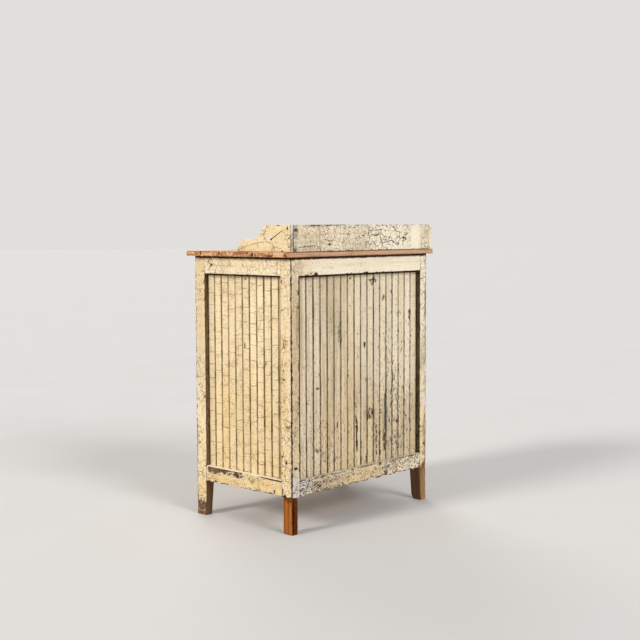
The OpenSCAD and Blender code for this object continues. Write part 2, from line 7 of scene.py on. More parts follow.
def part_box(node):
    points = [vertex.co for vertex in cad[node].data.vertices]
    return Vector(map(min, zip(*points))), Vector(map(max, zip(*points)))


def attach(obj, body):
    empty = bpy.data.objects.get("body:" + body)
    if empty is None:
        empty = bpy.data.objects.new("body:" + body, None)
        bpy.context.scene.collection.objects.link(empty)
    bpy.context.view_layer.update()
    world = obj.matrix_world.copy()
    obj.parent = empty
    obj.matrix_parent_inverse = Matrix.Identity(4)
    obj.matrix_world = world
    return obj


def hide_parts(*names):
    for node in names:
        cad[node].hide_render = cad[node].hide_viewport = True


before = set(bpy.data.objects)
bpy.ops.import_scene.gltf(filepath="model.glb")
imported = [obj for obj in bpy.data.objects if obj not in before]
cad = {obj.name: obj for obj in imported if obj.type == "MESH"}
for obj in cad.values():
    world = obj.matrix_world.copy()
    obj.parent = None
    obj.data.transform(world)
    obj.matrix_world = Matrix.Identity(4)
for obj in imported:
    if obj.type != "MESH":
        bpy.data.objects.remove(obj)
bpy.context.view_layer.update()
print("cabinet frame loaded:", len(cad), "parts")


def face(node, axis, end):  # where a piece ends on one axis, 0 at its low end and 1 at its high end
    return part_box(node)[end]["xyz".index(axis)]


# the cabinet's main planes
endFace, backFace = face("end_right_top_rail", "x", 1), face("back_top_rail", "y", 1)
panelEnd, panelBack = face("end_right_boards", "x", 1), face("back_boards", "y", 1)
scrollFace, galleryFace = face("gallery_end_right", "x", 1), face("gallery_back", "y", 1)
doorFace, counterEnd = face("door_left_lock_stile", "y", 0), face("counter_board_1", "x", 1)
counterUnder, counterTop = face("counter_board_1", "z", 0), face("counter_board_1", "z", 1)
topRailUnder, bottomRailTop = face("end_right_top_rail", "z", 0), face("end_right_bottom_rail", "z", 1)
postSide, postFront = face("post_rear_right", "x", 0), face("post_rear_right", "y", 0)
frontPostBack = face("post_front_right", "y", 1)


def setOut(name, data):  # a new object in the scene
    made = bpy.data.objects.new(name, data)
    bpy.context.scene.collection.objects.link(made)
    return made


# camera, lamps and sky
studio = dict(
    cameraPlace=(3.5486, 3.3077, 1.1611),
    cameraTilt=85.483,
    cameraHeading=132.621,
    cameraRoll=-0.2074,
    lens=66.29,
    floorColour=(0.70, 0.685, 0.665),
    skyColour=(0.75, 0.735, 0.715),
    skyLight=0.44)
lamps = {  # where the light comes from, strength, softness in degrees, colour
    "windowLamp": ((0.85, -0.12, 0.50), 1.72, 14, (1.0, 0.97, 0.92)),
    "roomLamp": ((0.12, 0.86, 0.48), 1.55, 24, (0.97, 0.98, 1.0)),
    "doorLamp": ((-0.45, -0.74, 0.50), 0.85, 30, (1.0, 0.99, 0.97)),
}

cameraData = bpy.data.cameras.new("photoCamera")
cameraData.lens = studio["lens"]
cameraData.sensor_width = 36
camera = setOut("photoCamera", cameraData)
camera.matrix_world = (
    Matrix.Translation(studio["cameraPlace"])
    @ Matrix.Rotation(math.radians(studio["cameraHeading"]), 4, "Z")
    @ Matrix.Rotation(math.radians(studio["cameraTilt"]), 4, "X")
    @ Matrix.Rotation(math.radians(studio["cameraRoll"]), 4, "Z")
)
bpy.context.scene.camera = camera
bpy.context.scene.view_settings.view_transform = "Standard"

for name, (source, strength, softness, colour) in lamps.items():
    lampData = bpy.data.lights.new(name, "SUN")
    lampData.energy = strength
    lampData.angle = math.radians(softness)
    lampData.color = colour
    lamp = setOut(name, lampData)
    lamp.rotation_euler = Vector(source).to_track_quat("Z", "Y").to_euler()
    lamp.location = Vector(source) * 6

sky = bpy.data.worlds.new("studioSky")
sky.use_nodes = True
bpy.context.scene.world = sky
skyNodes, skyLinks = sky.node_tree.nodes, sky.node_tree.links
skyNodes["Background"].inputs["Color"].default_value = (0.97, 0.98, 1.0, 1)
skyNodes["Background"].inputs["Strength"].default_value = studio["skyLight"]
paleSky = skyNodes.new("ShaderNodeBackground")
paleSky.inputs["Color"].default_value = (*studio["skyColour"], 1)
rays = skyNodes.new("ShaderNodeLightPath")
seen = rays.outputs["Is Camera Ray"]
for ray in ("Is Glossy Ray", "Is Transmission Ray"):  # metal mirrors the pale background too
    either = skyNodes.new("ShaderNodeMath")
    either.operation = "MAXIMUM"
    skyLinks.new(seen, either.inputs[0])
    skyLinks.new(rays.outputs[ray], either.inputs[1])
    seen = either.outputs[0]
skyMix = skyNodes.new("ShaderNodeMixShader")
skyLinks.new(seen, skyMix.inputs[0])
skyLinks.new(skyNodes["Background"].outputs[0], skyMix.inputs[1])
skyLinks.new(paleSky.outputs[0], skyMix.inputs[2])
skyLinks.new(skyMix.outputs[0], skyNodes["World Output"].inputs["Surface"])
print("camera, lamps and sky set")


def card(r, g, b):  # a colour as read from a paint card, 0 to 255
    return tuple((c / 255 / 12.92) if c <= 10 else ((c / 255 + 0.055) / 1.055) ** 2.4 for c in (r, g, b))


# the dark seam brown, the two recess tones and the grime tone also serve as painted shade and painted shadow
# lines
paintTones = dict(
    endCream=(246, 220, 171), boardCream=(252, 227, 177), backCream=(222, 199, 163),
    railCream=(252, 233, 194), whiteCream=(251, 239, 213), paleCream=(250, 234, 204),
    yellowCream=(232, 200, 140), primer=(222, 214, 216), crackTan=(164, 126, 72), crackBrown=(114, 78, 38),
    crackBlack=(46, 30, 12), crackGrey=(120, 98, 66), seamBrown=(42, 22, 4), recessShadeBrown=(74, 48, 10),
    recessShadeDark=(50, 36, 8), chipWood=(128, 88, 58), chipDark=(64, 42, 20), greyFilm=(166, 148, 120),
    warmGrey=(156, 132, 98), blueStain=(104, 118, 124), deepStain=(58, 70, 70), beadDirt=(138, 106, 52),
    beadDark=(104, 78, 38), grimeAndShade=(104, 74, 44), agedPale=(158, 120, 82), agedDark=(116, 84, 54),
    hand=(150, 124, 88))
paintTones = {name: card(*tone) for name, tone in paintTones.items()}


class Finish:  # one material, with short ways to add its nodes
    def __init__(self, name, shift=(0, 0, 0)):
        self.material = bpy.data.materials.new(name)
        self.material.use_nodes = True
        self.tree = self.material.node_tree
        self.shader = self.tree.nodes["Principled BSDF"]
        self.place = self.add("TexCoord").outputs["Object"]
        split = self.add("SeparateXYZ")
        self.put(self.place, split.inputs[0])
        self.axes = dict(zip("xyz", split.outputs))
        mapping = self.add("Mapping")
        self.put(self.place, mapping.inputs["Vector"])
        mapping.inputs["Location"].default_value = shift
        self.here = mapping.outputs[0]

    def add(self, kind, **fixed):
        node = self.tree.nodes.new("ShaderNode" + kind)
        for key, value in fixed.items():
            setattr(node, key, value)
        return node

    def put(self, value, socket):
        if isinstance(value, bpy.types.NodeSocket):
            self.tree.links.new(value, socket)
        elif socket.type == "RGBA":
            socket.default_value = (*value, 1)[:4]
        else:
            socket.default_value = value

    def calc(self, kind, a, *others):  # joins values one after another
        for b in others or (0.0,):
            node = self.add("Math", operation=kind)
            self.put(a, node.inputs[0])
            self.put(b, node.inputs[1])
            a = node.outputs[0]
        return a

    def times(self, *values):
        return self.calc("MULTIPLY", *values)

    def plus(self, *values):
        return self.calc("ADD", *values)

    def most(self, *values):
        return self.calc("MAXIMUM", *values)

    def least(self, *values):
        return self.calc("MINIMUM", *values)

    def flip(self, a):
        return self.calc("SUBTRACT", 1.0, a)

    def off(self, a, middle=0.5):  # signed distance from a middle value
        return self.calc("SUBTRACT", a, middle)

    def apart(self, a, b):
        return self.calc("ABSOLUTE", self.off(a, b))

    def vector(self, kind, a, b=(0, 0, 0)):
        node = self.add("VectorMath", operation=kind)
        self.put(a, node.inputs[0])
        self.put(b, node.inputs["Scale" if kind == "SCALE" else 1])
        return node.outputs["Value" if kind in ("LENGTH", "DOT_PRODUCT") else "Vector"]

    def fade(self, value, low, high, toLow=0.0, toHigh=1.0):  # soft step between two values
        node = self.add("MapRange", interpolation_type="SMOOTHSTEP")
        for v, socket in zip((value, low, high, toLow, toHigh), node.inputs):
            self.put(v, socket)
        return node.outputs["Result"]

    def cloud(self, scale, detail=3.0, rough=0.55, stretch=None, place=None, colour=False):
        node = self.add("TexNoise")
        place = place or self.here
        self.put(self.vector("MULTIPLY", place, stretch) if stretch else place, node.inputs["Vector"])
        self.put(scale, node.inputs["Scale"])
        self.put(detail, node.inputs["Detail"])
        self.put(rough, node.inputs["Roughness"])
        return node.outputs["Color" if colour else "Fac"]

    def grain(self, way, along, across, detail=3, rough=0.6, **more):  # noise drawn out along the wood
        stretch = tuple(along if a == way else across for a in "xyz")
        return self.cloud(1.0, detail, rough, stretch, **more)

    def bent(self, cloud, amount):  # coordinates pushed about by a coloured noise
        push = self.vector("SUBTRACT", cloud, (0.5, 0.5, 0.5))
        return self.vector("ADD", self.here, self.vector("SCALE", push, amount))

    def wander(self, scale, amount):
        return self.bent(self.cloud(scale, 2.0, colour=True), amount)

    def cracks(self, cell, place, stretch):  # distance to the nearest crack, in metres
        node = self.add("TexVoronoi", feature="DISTANCE_TO_EDGE")
        self.put(self.vector("MULTIPLY", place, stretch), node.inputs["Vector"])
        self.put(1.0 / cell, node.inputs["Scale"])
        return self.times(node.outputs["Distance"], cell)

    def chance(self, number):  # a value from 0 to 1 that belongs to a whole number
        node = self.add("TexWhiteNoise", noise_dimensions="1D")
        self.put(number, node.inputs["W"])
        return node.outputs["Value"]

    def torn(self, distance, amount):  # a distance made uneven, so that its edge looks torn
        return self.plus(distance, self.times(self.off(self.ragged), amount))

    def patch(self, centre, size, ragged):  # 1 at the centre of a soft spot, 0 outside it
        away = self.vector("DIVIDE", self.vector("SUBTRACT", self.place, centre), size)
        return self.fade(self.torn(self.vector("LENGTH", away), ragged), 1.0, 0.35)

    def patches(self, spots, ragged, total=0.0):
        for centre, size, amount in spots:
            total = self.plus(total, self.times(self.patch(centre, size, ragged), amount))
        return total

    def slash(self, start, end, wide):  # 1 on a thin ragged line between two points
        start, way = Vector(start), Vector(end) - Vector(start)
        away = self.vector("SUBTRACT", self.place, tuple(start))
        share = self.vector("DOT_PRODUCT", away, tuple(way / way.length_squared))
        nearest = self.vector("SCALE", tuple(way), self.least(self.most(share, 0.0), 1.0))
        off = self.torn(self.vector("LENGTH", self.vector("SUBTRACT", away, nearest)), wide * 3)
        return self.fade(off, wide, wide * 0.4)

    def seam(self, axis, place, reach, ragged, core, amount):  # a band beside one plane
        off = self.torn(self.apart(self.axes[axis], place), ragged)
        return self.fade(off, reach, core, 0, amount)

    def edge(self, low, high):  # distance to the nearest long edge of a box-shaped piece
        fromLow = self.vector("SUBTRACT", self.place, low)
        fromHigh = self.vector("SUBTRACT", high, self.place)
        near = self.add("SeparateXYZ")
        self.put(self.vector("MINIMUM", fromLow, fromHigh), near.inputs[0])
        a, b, c = near.outputs
        return self.most(self.least(a, b), self.least(self.most(a, b), c))

    def kept(self, name):  # a value stored in the piece's own mesh
        return self.add("Attribute", attribute_name=name).outputs["Fac"]

    def blend(self, amount, a, b):
        node = self.add("Mix", data_type="RGBA")
        self.put(amount, node.inputs[0])
        self.put(a, node.inputs[6])
        self.put(b, node.inputs[7])
        return node.outputs[2]

    def coat(self, amount, tone):  # lays one more tone over the colour so far
        self.colour = self.blend(amount, self.colour, paintTones[tone] if isinstance(tone, str) else tone)

    def done(self, rough, height=None, distance=0.001, strength=1.0, shine=0.5):
        self.shader.inputs["Specular IOR Level"].default_value = shine
        self.put(self.colour, self.shader.inputs["Base Color"])
        self.put(rough, self.shader.inputs["Roughness"])
        if height is not None:
            bump = self.add("Bump")
            self.put(strength, bump.inputs["Strength"])
            self.put(distance, bump.inputs["Distance"])
            self.put(height, bump.inputs["Height"])
            self.put(bump.outputs[0], self.shader.inputs["Normal"])
        return self.material


usualPaint = dict(  # a painted piece has these unless its own settings differ
    cream="endCream", shift=(0, 0, 0), grainWay="z",
    streakDirt=0.30, streakTone="yellowCream", hairDirt=0.18, paleStreaks=0.2,
    filmAmount=0.2, stripGrey=0.12, specks=0.02,
    flakeScale=95, flakeStretch=0.45, rim=0.55, primerLeft=0.35, woodTones=("chipDark", "chipWood"),
    wear=0.0, bittenWear=0.35, wornRagged=1.0, edgeWidth=0.005, edgeWear=0.13,
    lowTop=0.45, lowEnd=0.10, lowWear=0.04,
    beadWidth=(0.0032, 0.0060), beadDirt=(0.45, 1.0), beadWear=0.10, plainDark=0.0,
    stains=[], dashes=[], levels=[], nets=[], seamsShadowsAndHighlights=[], scarsAndShade=[], slashes=[])
usualNet = dict(
    bend=40, bendBy=0.010, stretch=(1, 1, 1), widthScale=24, depth=0.7, least=0.1,
    tone="crackBrown")


def oldPaint(name, job):
    job = {**usualPaint, **job}
    way = job["grainWay"]
    tone = paintTones
    f = Finish(name, job["shift"])
    f.ragged = f.grain(way, job["flakeScale"] * job["flakeStretch"], job["flakeScale"], 4, 0.66)
    fine = f.cloud(380, 3, 0.6)
    broad = f.cloud(5.5, 3, 0.5)
    streak = f.grain(way, 2.6, 60, 4)
    hair = f.grain(way, 6, 240)
    film = f.cloud(1.0, 3, 0.6, (9, 9, 2.2))

    # the film of paint: slow drifts, streaks along the grain, grey weathering
    f.colour = tone[job["cream"]]
    f.coat(f.fade(broad, 0.35, 0.7, 0, 0.35), "whiteCream")
    f.coat(f.fade(streak, 0.42, 0.75, 0, job["streakDirt"]), job["streakTone"])
    f.coat(f.fade(hair, 0.50, 0.76, 0, job["hairDirt"]), "warmGrey")
    f.coat(f.fade(f.plus(hair, streak), 1.05, 0.84, 0, job["paleStreaks"]), "whiteCream")
    f.coat(f.fade(film, 0.46, 0.74, 0, job["filmAmount"]), "greyFilm")
    f.coat(f.fade(fine, 0.42, 0.8, 0, 0.16), "grimeAndShade")
    for centre, size, toneName, amount in job["stains"]:
        uneven = f.fade(f.plus(streak, f.ragged), 0.75, 1.15, 0.4, 1.0)
        f.coat(f.times(f.patch(centre, size, 0.9), uneven, amount), toneName)
    if "grimeAndShade" in job:  # painted shade, with some dirt: darker bands beside a plane of the joinery, such as under the counter and under the top rails
        dirt = 0.0
        for axis, place, reach, amount in job["grimeAndShade"]:
            dirt = f.most(dirt, f.seam(axis, place, reach, reach, reach * 0.25, amount))
        f.coat(dirt, "grimeAndShade")

    # where paint has come away: low down, along edges, at bead lines, in known places
    low = f.fade(f.axes["z"], job["lowTop"], job["lowEnd"], 0, job["lowWear"])
    wear = f.plus(job["wear"], low, f.times(f.kept("bitten"), job["bittenWear"]))
    if "box" in job:
        edge = f.torn(f.edge(*job["box"]), 0.006)
        wear = f.plus(wear, f.times(f.fade(edge, job["edgeWidth"], 0.0), job["edgeWear"]))
    if "worn" in job:
        wear = f.plus(wear, f.patches(job["worn"], job["wornRagged"]))
    if "bead" in job:
        axis, start, pitch = job["bead"]
        wobble = f.times(f.off(f.cloud(1.0, 3, 0.6, (30, 30, 8))), 0.0030)
        step = f.calc("DIVIDE", f.off(f.plus(f.axes[axis], wobble), start), pitch)
        number = f.calc("ROUND", step)
        fromBead = f.times(f.apart(step, number), pitch)
        own = f.chance(f.plus(number, 0.37))  # each line is dirty in its own way
        tint = f.chance(f.calc("FLOOR", step))  # and each strip has its own tint
        f.coat(f.fade(tint, 0.0, 1.0, 0, 0.24), "yellowCream")
        f.coat(f.fade(f.calc("FRACT", f.times(tint, 7.0)), 0.2, 1.0, 0, job["stripGrey"]), "greyFilm")
        run = f.cloud(1.0, 4, 0.7, (25, 25, 9))
        lineWidth = f.times(f.fade(run, 0.32, 0.72, *job["beadWidth"]), f.plus(0.72, f.times(own, 0.55)))
        line = f.fade(fromBead, lineWidth, f.times(lineWidth, 0.5))
        lineDirt = f.times(f.fade(run, 0.30, 0.62, *job["beadDirt"]), f.plus(0.7, f.times(own, 0.5)))
        dash = f.fade(f.cloud(1.0, 4, 0.7, (40, 40, 11)), 0.58, 0.64, 0, 0.9)
        dash = f.patches(job["dashes"], 0.8, dash)
        wear = f.plus(wear, f.times(f.fade(fromBead, 0.0070, 0.0015), job["beadWear"]))
        lineTone = tone["beadDirt"]
        if "beadTones" in job:  # the dirt in the bead lines changes from one side to the other
            lineTone = f.blend(f.fade(f.axes[axis], *job["beadTones"]), lineTone, tone["beadDark"])

    # fine breaks in the paint: level ones across the boards, and nets of crackle
    marks = 0.0
    for level in job["levels"]:
        bend = f.times(f.off(f.cloud(16, 3, 0.6)), level["bend"])
        node = f.add("TexVoronoi", feature="DISTANCE_TO_EDGE", voronoi_dimensions="1D")
        f.put(f.plus(f.axes["z"], bend, f.times(tint, 1.7)), node.inputs["W"])
        f.put(1.0 / level["spacing"], node.inputs["Scale"])
        away = f.times(node.outputs["Distance"], level["spacing"])
        there = f.fade(f.cloud(23, 3, 0.6), *level["there"], 0, level["depth"])
        mark = f.times(f.fade(away, level["wide"], level["wide"] * 0.3), there)
        f.coat(mark, level["tone"])
        marks = f.most(marks, mark)
    calm = f.flip(f.least(f.patches(job["calm"], 0.6), 1.0)) if "calm" in job else 1.0
    for net in job["nets"]:
        net = {**usualNet, **net}
        away = f.cracks(net["cell"], f.wander(net["bend"], net["bendBy"]), net["stretch"])
        width = f.fade(f.cloud(net["widthScale"], 3, 0.6), 0.36, 0.70, net["thin"], net["wide"])
        mark = f.times(f.fade(away, width, f.times(width, 0.3)), net["depth"], calm)
        if "there" in net:
            mark = f.times(mark, f.fade(f.cloud(9, 3, 0.6), *net["there"], net["least"], 1.0))
        if "where" in net:
            mark = f.times(mark, f.least(f.patches(net["where"], 0.6), 1.0))
        f.coat(mark, net["tone"])
        marks = f.most(marks, mark)

    # the wood and primer that show where a flake is gone
    flake = f.plus(f.ragged, f.times(f.off(fine), 0.22), wear)
    bare = f.fade(flake, 0.715, 0.735)
    rim = f.times(f.fade(flake, 0.665, 0.70), f.flip(bare), job["rim"])
    wood = f.grain(way, 12, 180, 4, 0.65)
    darkWood, paleWood = job["woodTones"]
    woodShade = f.plus(wood, f.fade(flake, 0.75, 0.95, -0.12, 0.25))
    woodTone = f.blend(f.fade(woodShade, 0.3, 0.7), tone[darkWood], tone[paleWood])
    primerLeft = f.fade(f.cloud(70, 3, 0.6), 0.55, 0.60, 0, job["primerLeft"])
    woodTone = f.blend(primerLeft, woodTone, tone["primer"])

    specks = f.plus(f.torn(fine, 0.30), job["specks"])
    f.coat(f.fade(specks, 0.70, 0.76, 0, 0.85), "crackBlack")
    if "bead" in job:
        f.coat(f.times(line, lineDirt), lineTone)
        f.coat(f.times(line, dash), "chipDark")
    f.coat(rim, "whiteCream")
    f.coat(bare, woodTone)
    for axis, place, reach, toneName, amount in job["seamsShadowsAndHighlights"]:  # dark joints, painted shadow lines under the counter, under the top rails and beside the posts, and painted highlights on lit lips, all with a crisp edge
        f.coat(f.seam(axis, place, reach, reach * 0.9, reach * 0.55, amount), toneName)
    for centre, size, toneName, amount in job["scarsAndShade"]:  # single marks with a hard edge
        f.coat(f.fade(f.patch(centre, size, 1.6), 0.25, 0.5, 0, amount), toneName)
    for start, end, wide, toneName, amount in job["slashes"]:
        f.coat(f.times(f.slash(start, end, wide), amount), toneName)
    if "recessShadeTone" in job:  # painted shade, with some dirt, on the sides of the posts beside a sunk panel
        f.coat(f.times(f.kept("recessSide"), f.fade(f.ragged, 0.30, 0.62, 1.0, 0.85)), job["recessShadeTone"])

    # the sides that were never painted
    inside = f.kept("bareSide")
    plank = f.grain(way, 2.4, 52, 5, 0.62, place=f.wander(5, 0.02))
    plain = f.blend(f.fade(plank, 0.36, 0.68), tone["agedPale"], tone["agedDark"])
    plain = f.blend(f.fade(hair, 0.52, 0.76, 0, 0.5), plain, tone["chipWood"])
    if "bead" in job:
        board = f.chance(f.calc("FLOOR", f.times(step, 0.5)))
        plain = f.blend(f.fade(board, 0.0, 1.0, 0, 0.4), plain, tone["agedDark"])
    plain = f.blend(f.fade(film, 0.50, 0.80, 0, 0.4), plain, tone["grimeAndShade"])
    # on the posts this darkening stands partly for old dark wood and partly for painted shade on the inner
    # faces of the legs
    plain = f.blend(job["plainDark"], plain, tone["chipDark"])
    f.coat(inside, plain)

    rough = f.plus(
        f.fade(broad, 0.3, 0.7, 0.42, 0.58), f.times(f.most(bare, inside), 0.28), f.times(marks, 0.15))
    height = f.plus(
        f.times(bare, -0.9), f.times(marks, -0.6), f.times(rim, 0.15), f.times(f.grain(way, 40, 700), 0.18),
        f.times(f.cloud(120, 3, 0.6), 0.3), f.times(wood, bare, 0.5))
    return f.done(rough, height, 0.0012, 0.75, 0.22)


usualCut = dict(  # a worn piece has these unless its own settings differ
    ease=0.0, dent=0.0005, bite=0.0045, everywhere=False, seed=(0, 0, 0),
    recessed=False, bareSides=[], slot="cream_paint")
carving = dict(
    weld=0.00002, flat=0.02, corner=0.6, crease=0.75, shortest=0.008,  # metres and radians
    netShift=0.00037,  # keeps the cuts off the piece's own corners
    biteScale=55, lumpScale=38, dentScale=9,  # how fine the noise is
    skin=0.004, edgeReach=0.009)  # how deep below a face and how far from an edge the wear goes
sunkPanels = dict(  # outside these a post stands proud
    low=face("end_right_bottom_rail", "z", 0), end=panelEnd - 0.00005, back=panelBack - 0.00005, front=-0.236)


def cutNet(piece, low, high, steps):  # cut across into a net of small faces
    for axis, step in enumerate(steps):
        across = Vector([1.0 if i == axis else 0.0 for i in range(3)])
        count = max(1, round((high[axis] - low[axis]) / step)) if step else 1
        for i in range(1, count):
            place = low.copy()
            place[axis] += (high[axis] - low[axis]) * i / count + carving["netShift"]
            everything = piece.verts[:] + piece.edges[:] + piece.faces[:]
            bmesh.ops.bisect_plane(piece, geom=everything, dist=0.00001, plane_co=place, plane_no=across)


def wearAway(piece, low, high, cut):  # dents on the faces, bites along the edges
    bitten = piece.verts.layers.float["bitten"]
    seed = Vector(cut["seed"])
    for v in piece.verts:
        gaps = sorted(min(v.co[i] - low[i], high[i] - v.co[i]) for i in range(3))
        if gaps[0] > carving["skin"] and not cut["everywhere"]:
            continue
        near = max(0.0, 1 - gaps[1] / carving["edgeReach"])
        spot = v.co + seed
        bite = max(0.0, noise.fractal(spot * carving["biteScale"], 0.9, 2.1, 4) - 0.05)
        dent = 0.5 + 0.5 * noise.noise(spot * carving["dentScale"])
        push = cut["dent"] * dent + near * near * bite * cut["bite"]
        v[bitten] = min(1.0, near * bite * 1.6)
        moves = [v.normal * -push]
        if "ragged" in cut:  # one long edge broken away unevenly
            axis, sign, much, reach = cut["ragged"]
            gap = (v.co[axis] - low[axis]) if sign < 0 else (high[axis] - v.co[axis])
            share = max(0.0, 1 - gap / reach)
            if share:
                lump = max(0.0, noise.fractal(spot * carving["lumpScale"], 0.8, 2.2, 4) + 0.25)
                moves.append(Vector([-sign * share * lump * much if i == axis else 0.0 for i in range(3)]))
        for move in moves:
            v.co = Vector([min(max(v.co[i] + move[i], low[i]), high[i]) for i in range(3)])


def wornCopy(node, material, cut, body="carcass"):
    cut = {**usualCut, **cut}
    low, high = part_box(node)
    piece = bmesh.new()
    piece.from_mesh(cad[node].data)
    piece.verts.layers.float.new("bitten")
    bareSide = piece.faces.layers.float.new("bareSide")
    recessSide = piece.faces.layers.float.new("recessSide")
    bmesh.ops.remove_doubles(piece, verts=piece.verts, dist=carving["weld"])
    bmesh.ops.dissolve_limit(piece, angle_limit=carving["flat"], verts=piece.verts, edges=piece.edges)
    if cut["ease"]:
        corners = [
            e for e in piece.edges if e.is_manifold and e.is_convex
            and e.calc_face_angle(0) > carving["corner"] and e.calc_length() > carving["shortest"]]
        bmesh.ops.bevel(
            piece, geom=corners, offset=cut["ease"], offset_type="OFFSET", segments=2, profile=0.5,
            affect="EDGES", material=-1, clamp_overlap=True)
    cutNet(piece, low, high, cut["net"])
    piece.normal_update()
    wearAway(piece, low, high, cut)
    piece.normal_update()
    for face in piece.faces:
        face.smooth = True
        x, y, z = face.calc_center_median()
        proud = abs(x) > sunkPanels["end"] or y > sunkPanels["back"] or y < sunkPanels["front"]
        shown = cut["recessed"] and z > sunkPanels["low"] and proud
        turned = any(face.normal.dot(Vector(way)) > 0.6 for way in cut["bareSides"])
        face[bareSide] = float(turned and not shown)
        face[recessSide] = float(turned and shown)
    for e in piece.edges:
        if e.is_manifold and e.calc_face_angle(0) > carving["crease"]:
            e.smooth = False
    mesh = bpy.data.meshes.new(node + "_worn")
    piece.to_mesh(mesh)
    piece.free()
    mesh.materials.append(material)
    worn = setOut(node + "_worn", mesh)
    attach(worn, body)
    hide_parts(node)


def boxOf(node):
    return tuple(tuple(corner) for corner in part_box(node))


def paintPiece(node, job, cut, body="carcass"):
    job = {"box": boxOf(node), **job}
    wornCopy(node, oldPaint(node + "Paint", job), {"seed": job["shift"], **cut}, body)


def dress(names, material):
    for n in names:
        cad[n].data.materials.clear()
        cad[n].data.materials.append(material)


# marks are written in millimetres and end with their tone and amount where these aren't the usual ones,
# while the plane that they lie on is in metres
def metres(*sizes):
    return tuple(s / 1000 for s in sizes)


def spots(rows, *usual):  # place, then size
    return [(metres(*row[:3]), metres(*row[3:6]), *row[6:], *usual[len(row) - 6:]) for row in rows]


def onEnd(plane, deep, rows, *usual):  # across, up, wide, tall
    x = plane * 1000
    return spots([(x, y, z, deep, wide, tall, *own) for y, z, wide, tall, *own in rows], *usual)


def onBack(plane, deep, rows, *usual):
    y = plane * 1000
    return spots([(x, y, z, wide, deep, tall, *own) for x, z, wide, tall, *own in rows], *usual)


def endLines(plane, rows, *usual):  # across and up at each of the two ends, then how wide
    return [
        ((plane, *metres(y, z)), (plane, *metres(toY, toZ)), wide / 1000, *own, *usual[len(own):])
        for y, z, toY, toZ, wide, *own in rows]


def backLines(plane, rows, *usual):
    return [
        ((x / 1000, plane, z / 1000), (toX / 1000, plane, toZ / 1000), wide / 1000, *own, *usual[len(own):])
        for x, z, toX, toZ, wide, *own in rows]


fineNet = dict(
    cell=0.014, thin=0.0002, wide=0.0011, depth=0.8, bend=60, bendBy=0.009, tone="crackBrown",
    there=(0.36, 0.52), least=0.35)
bigNet = dict(
    cell=0.036, thin=0.0003, wide=0.0018, depth=0.85, bend=25, bendBy=0.018, there=(0.42, 0.56), least=0.15)
beadPitch = 0.0397  # from one bead line to the next
# painted shadow under the counter's overhang: a soft dark band and a crisp dark line on the tops of the posts
# and top rails
shadeUnderCounter = ("z", counterUnder, 0.014, 0.75)
shadowLineUnderCounter = ("z", counterUnder, 0.0110, "seamBrown", 1.0)
gallerySeam = ("z", counterTop, 0.0014, "seamBrown", 0.9)

# the boards of both ends and the back
endBoardJob = dict(
    cream="boardCream", shift=(0.3, 0.1, 0.7), bead=("y", 0.1899, beadPitch), filmAmount=0.1, hairDirt=0.12,
    levels=[dict(spacing=0.048, wide=0.0013, depth=0.9, bend=0.03, there=(0.38, 0.52), tone="crackBrown"),
        dict(spacing=0.012, wide=0.0008, depth=0.55, bend=0.02, there=(0.44, 0.6), tone="crackTan")],
    nets=[dict(fineNet, cell=0.01, depth=0.5, tone="crackTan", stretch=(1, 1.2, 0.8)),
        dict(bigNet, depth=0.35, stretch=(1, 1, 0.6))],
    lowWear=0.03, beadWidth=(0.003, 0.0056), beadDirt=(0.55, 1.0),
    # painted shadow with some dirt: the bands and crisp dark lines under the top rail and beside the posts;
    # the last seam is a dirty bead line
    grimeAndShade=[("z", topRailUnder, 0.024, 0.6), ("y", frontPostBack, 0.008, 0.8), ("y", postFront, 0.005, 0.7)],
    seamsShadowsAndHighlights=[("z", topRailUnder, 0.0076, "seamBrown", 1.0), ("y", frontPostBack, 0.003, "seamBrown", 0.9),
        ("y", 0.1975, 0.002, "beadDirt", 0.8)],
    stains=onEnd(panelEnd, 100, [
        (-20, 880, 500, 340, "railCream", 1), (50, 330, 400, 250, "yellowCream", 0.25)]),
    dashes=onEnd(panelEnd, 10, [(-48, 545, 6, 100), (-48, 325, 6, 45, 1.2), (-48, 258, 6, 35, 1.2),
        (-127.7, 660, 6, 30, 1.2), (-127.7, 276, 6, 20, 1.2), (31.1, 720, 6, 50), (31.1, 500, 6, 30),
        (31.1, 388, 6, 25, 1), (110.5, 900, 6, 50, 0.8), (-8.3, 860, 6, 30)], 0.9),
    scarsAndShade=onEnd(panelEnd, 10, [(3.9, 702, 4, 14), (119.7, 641, 4, 10), (11.1, 963, 7, 6),
        (160, 520, 3, 6, "chipDark", 0.6), (-45.5, 301, 3.5, 14), (-46.1, 257, 3, 18), (-127, 276, 3, 10),
        (-181, 290, 4, 6, "crackBrown", 0.8)], "chipDark", 0.9))
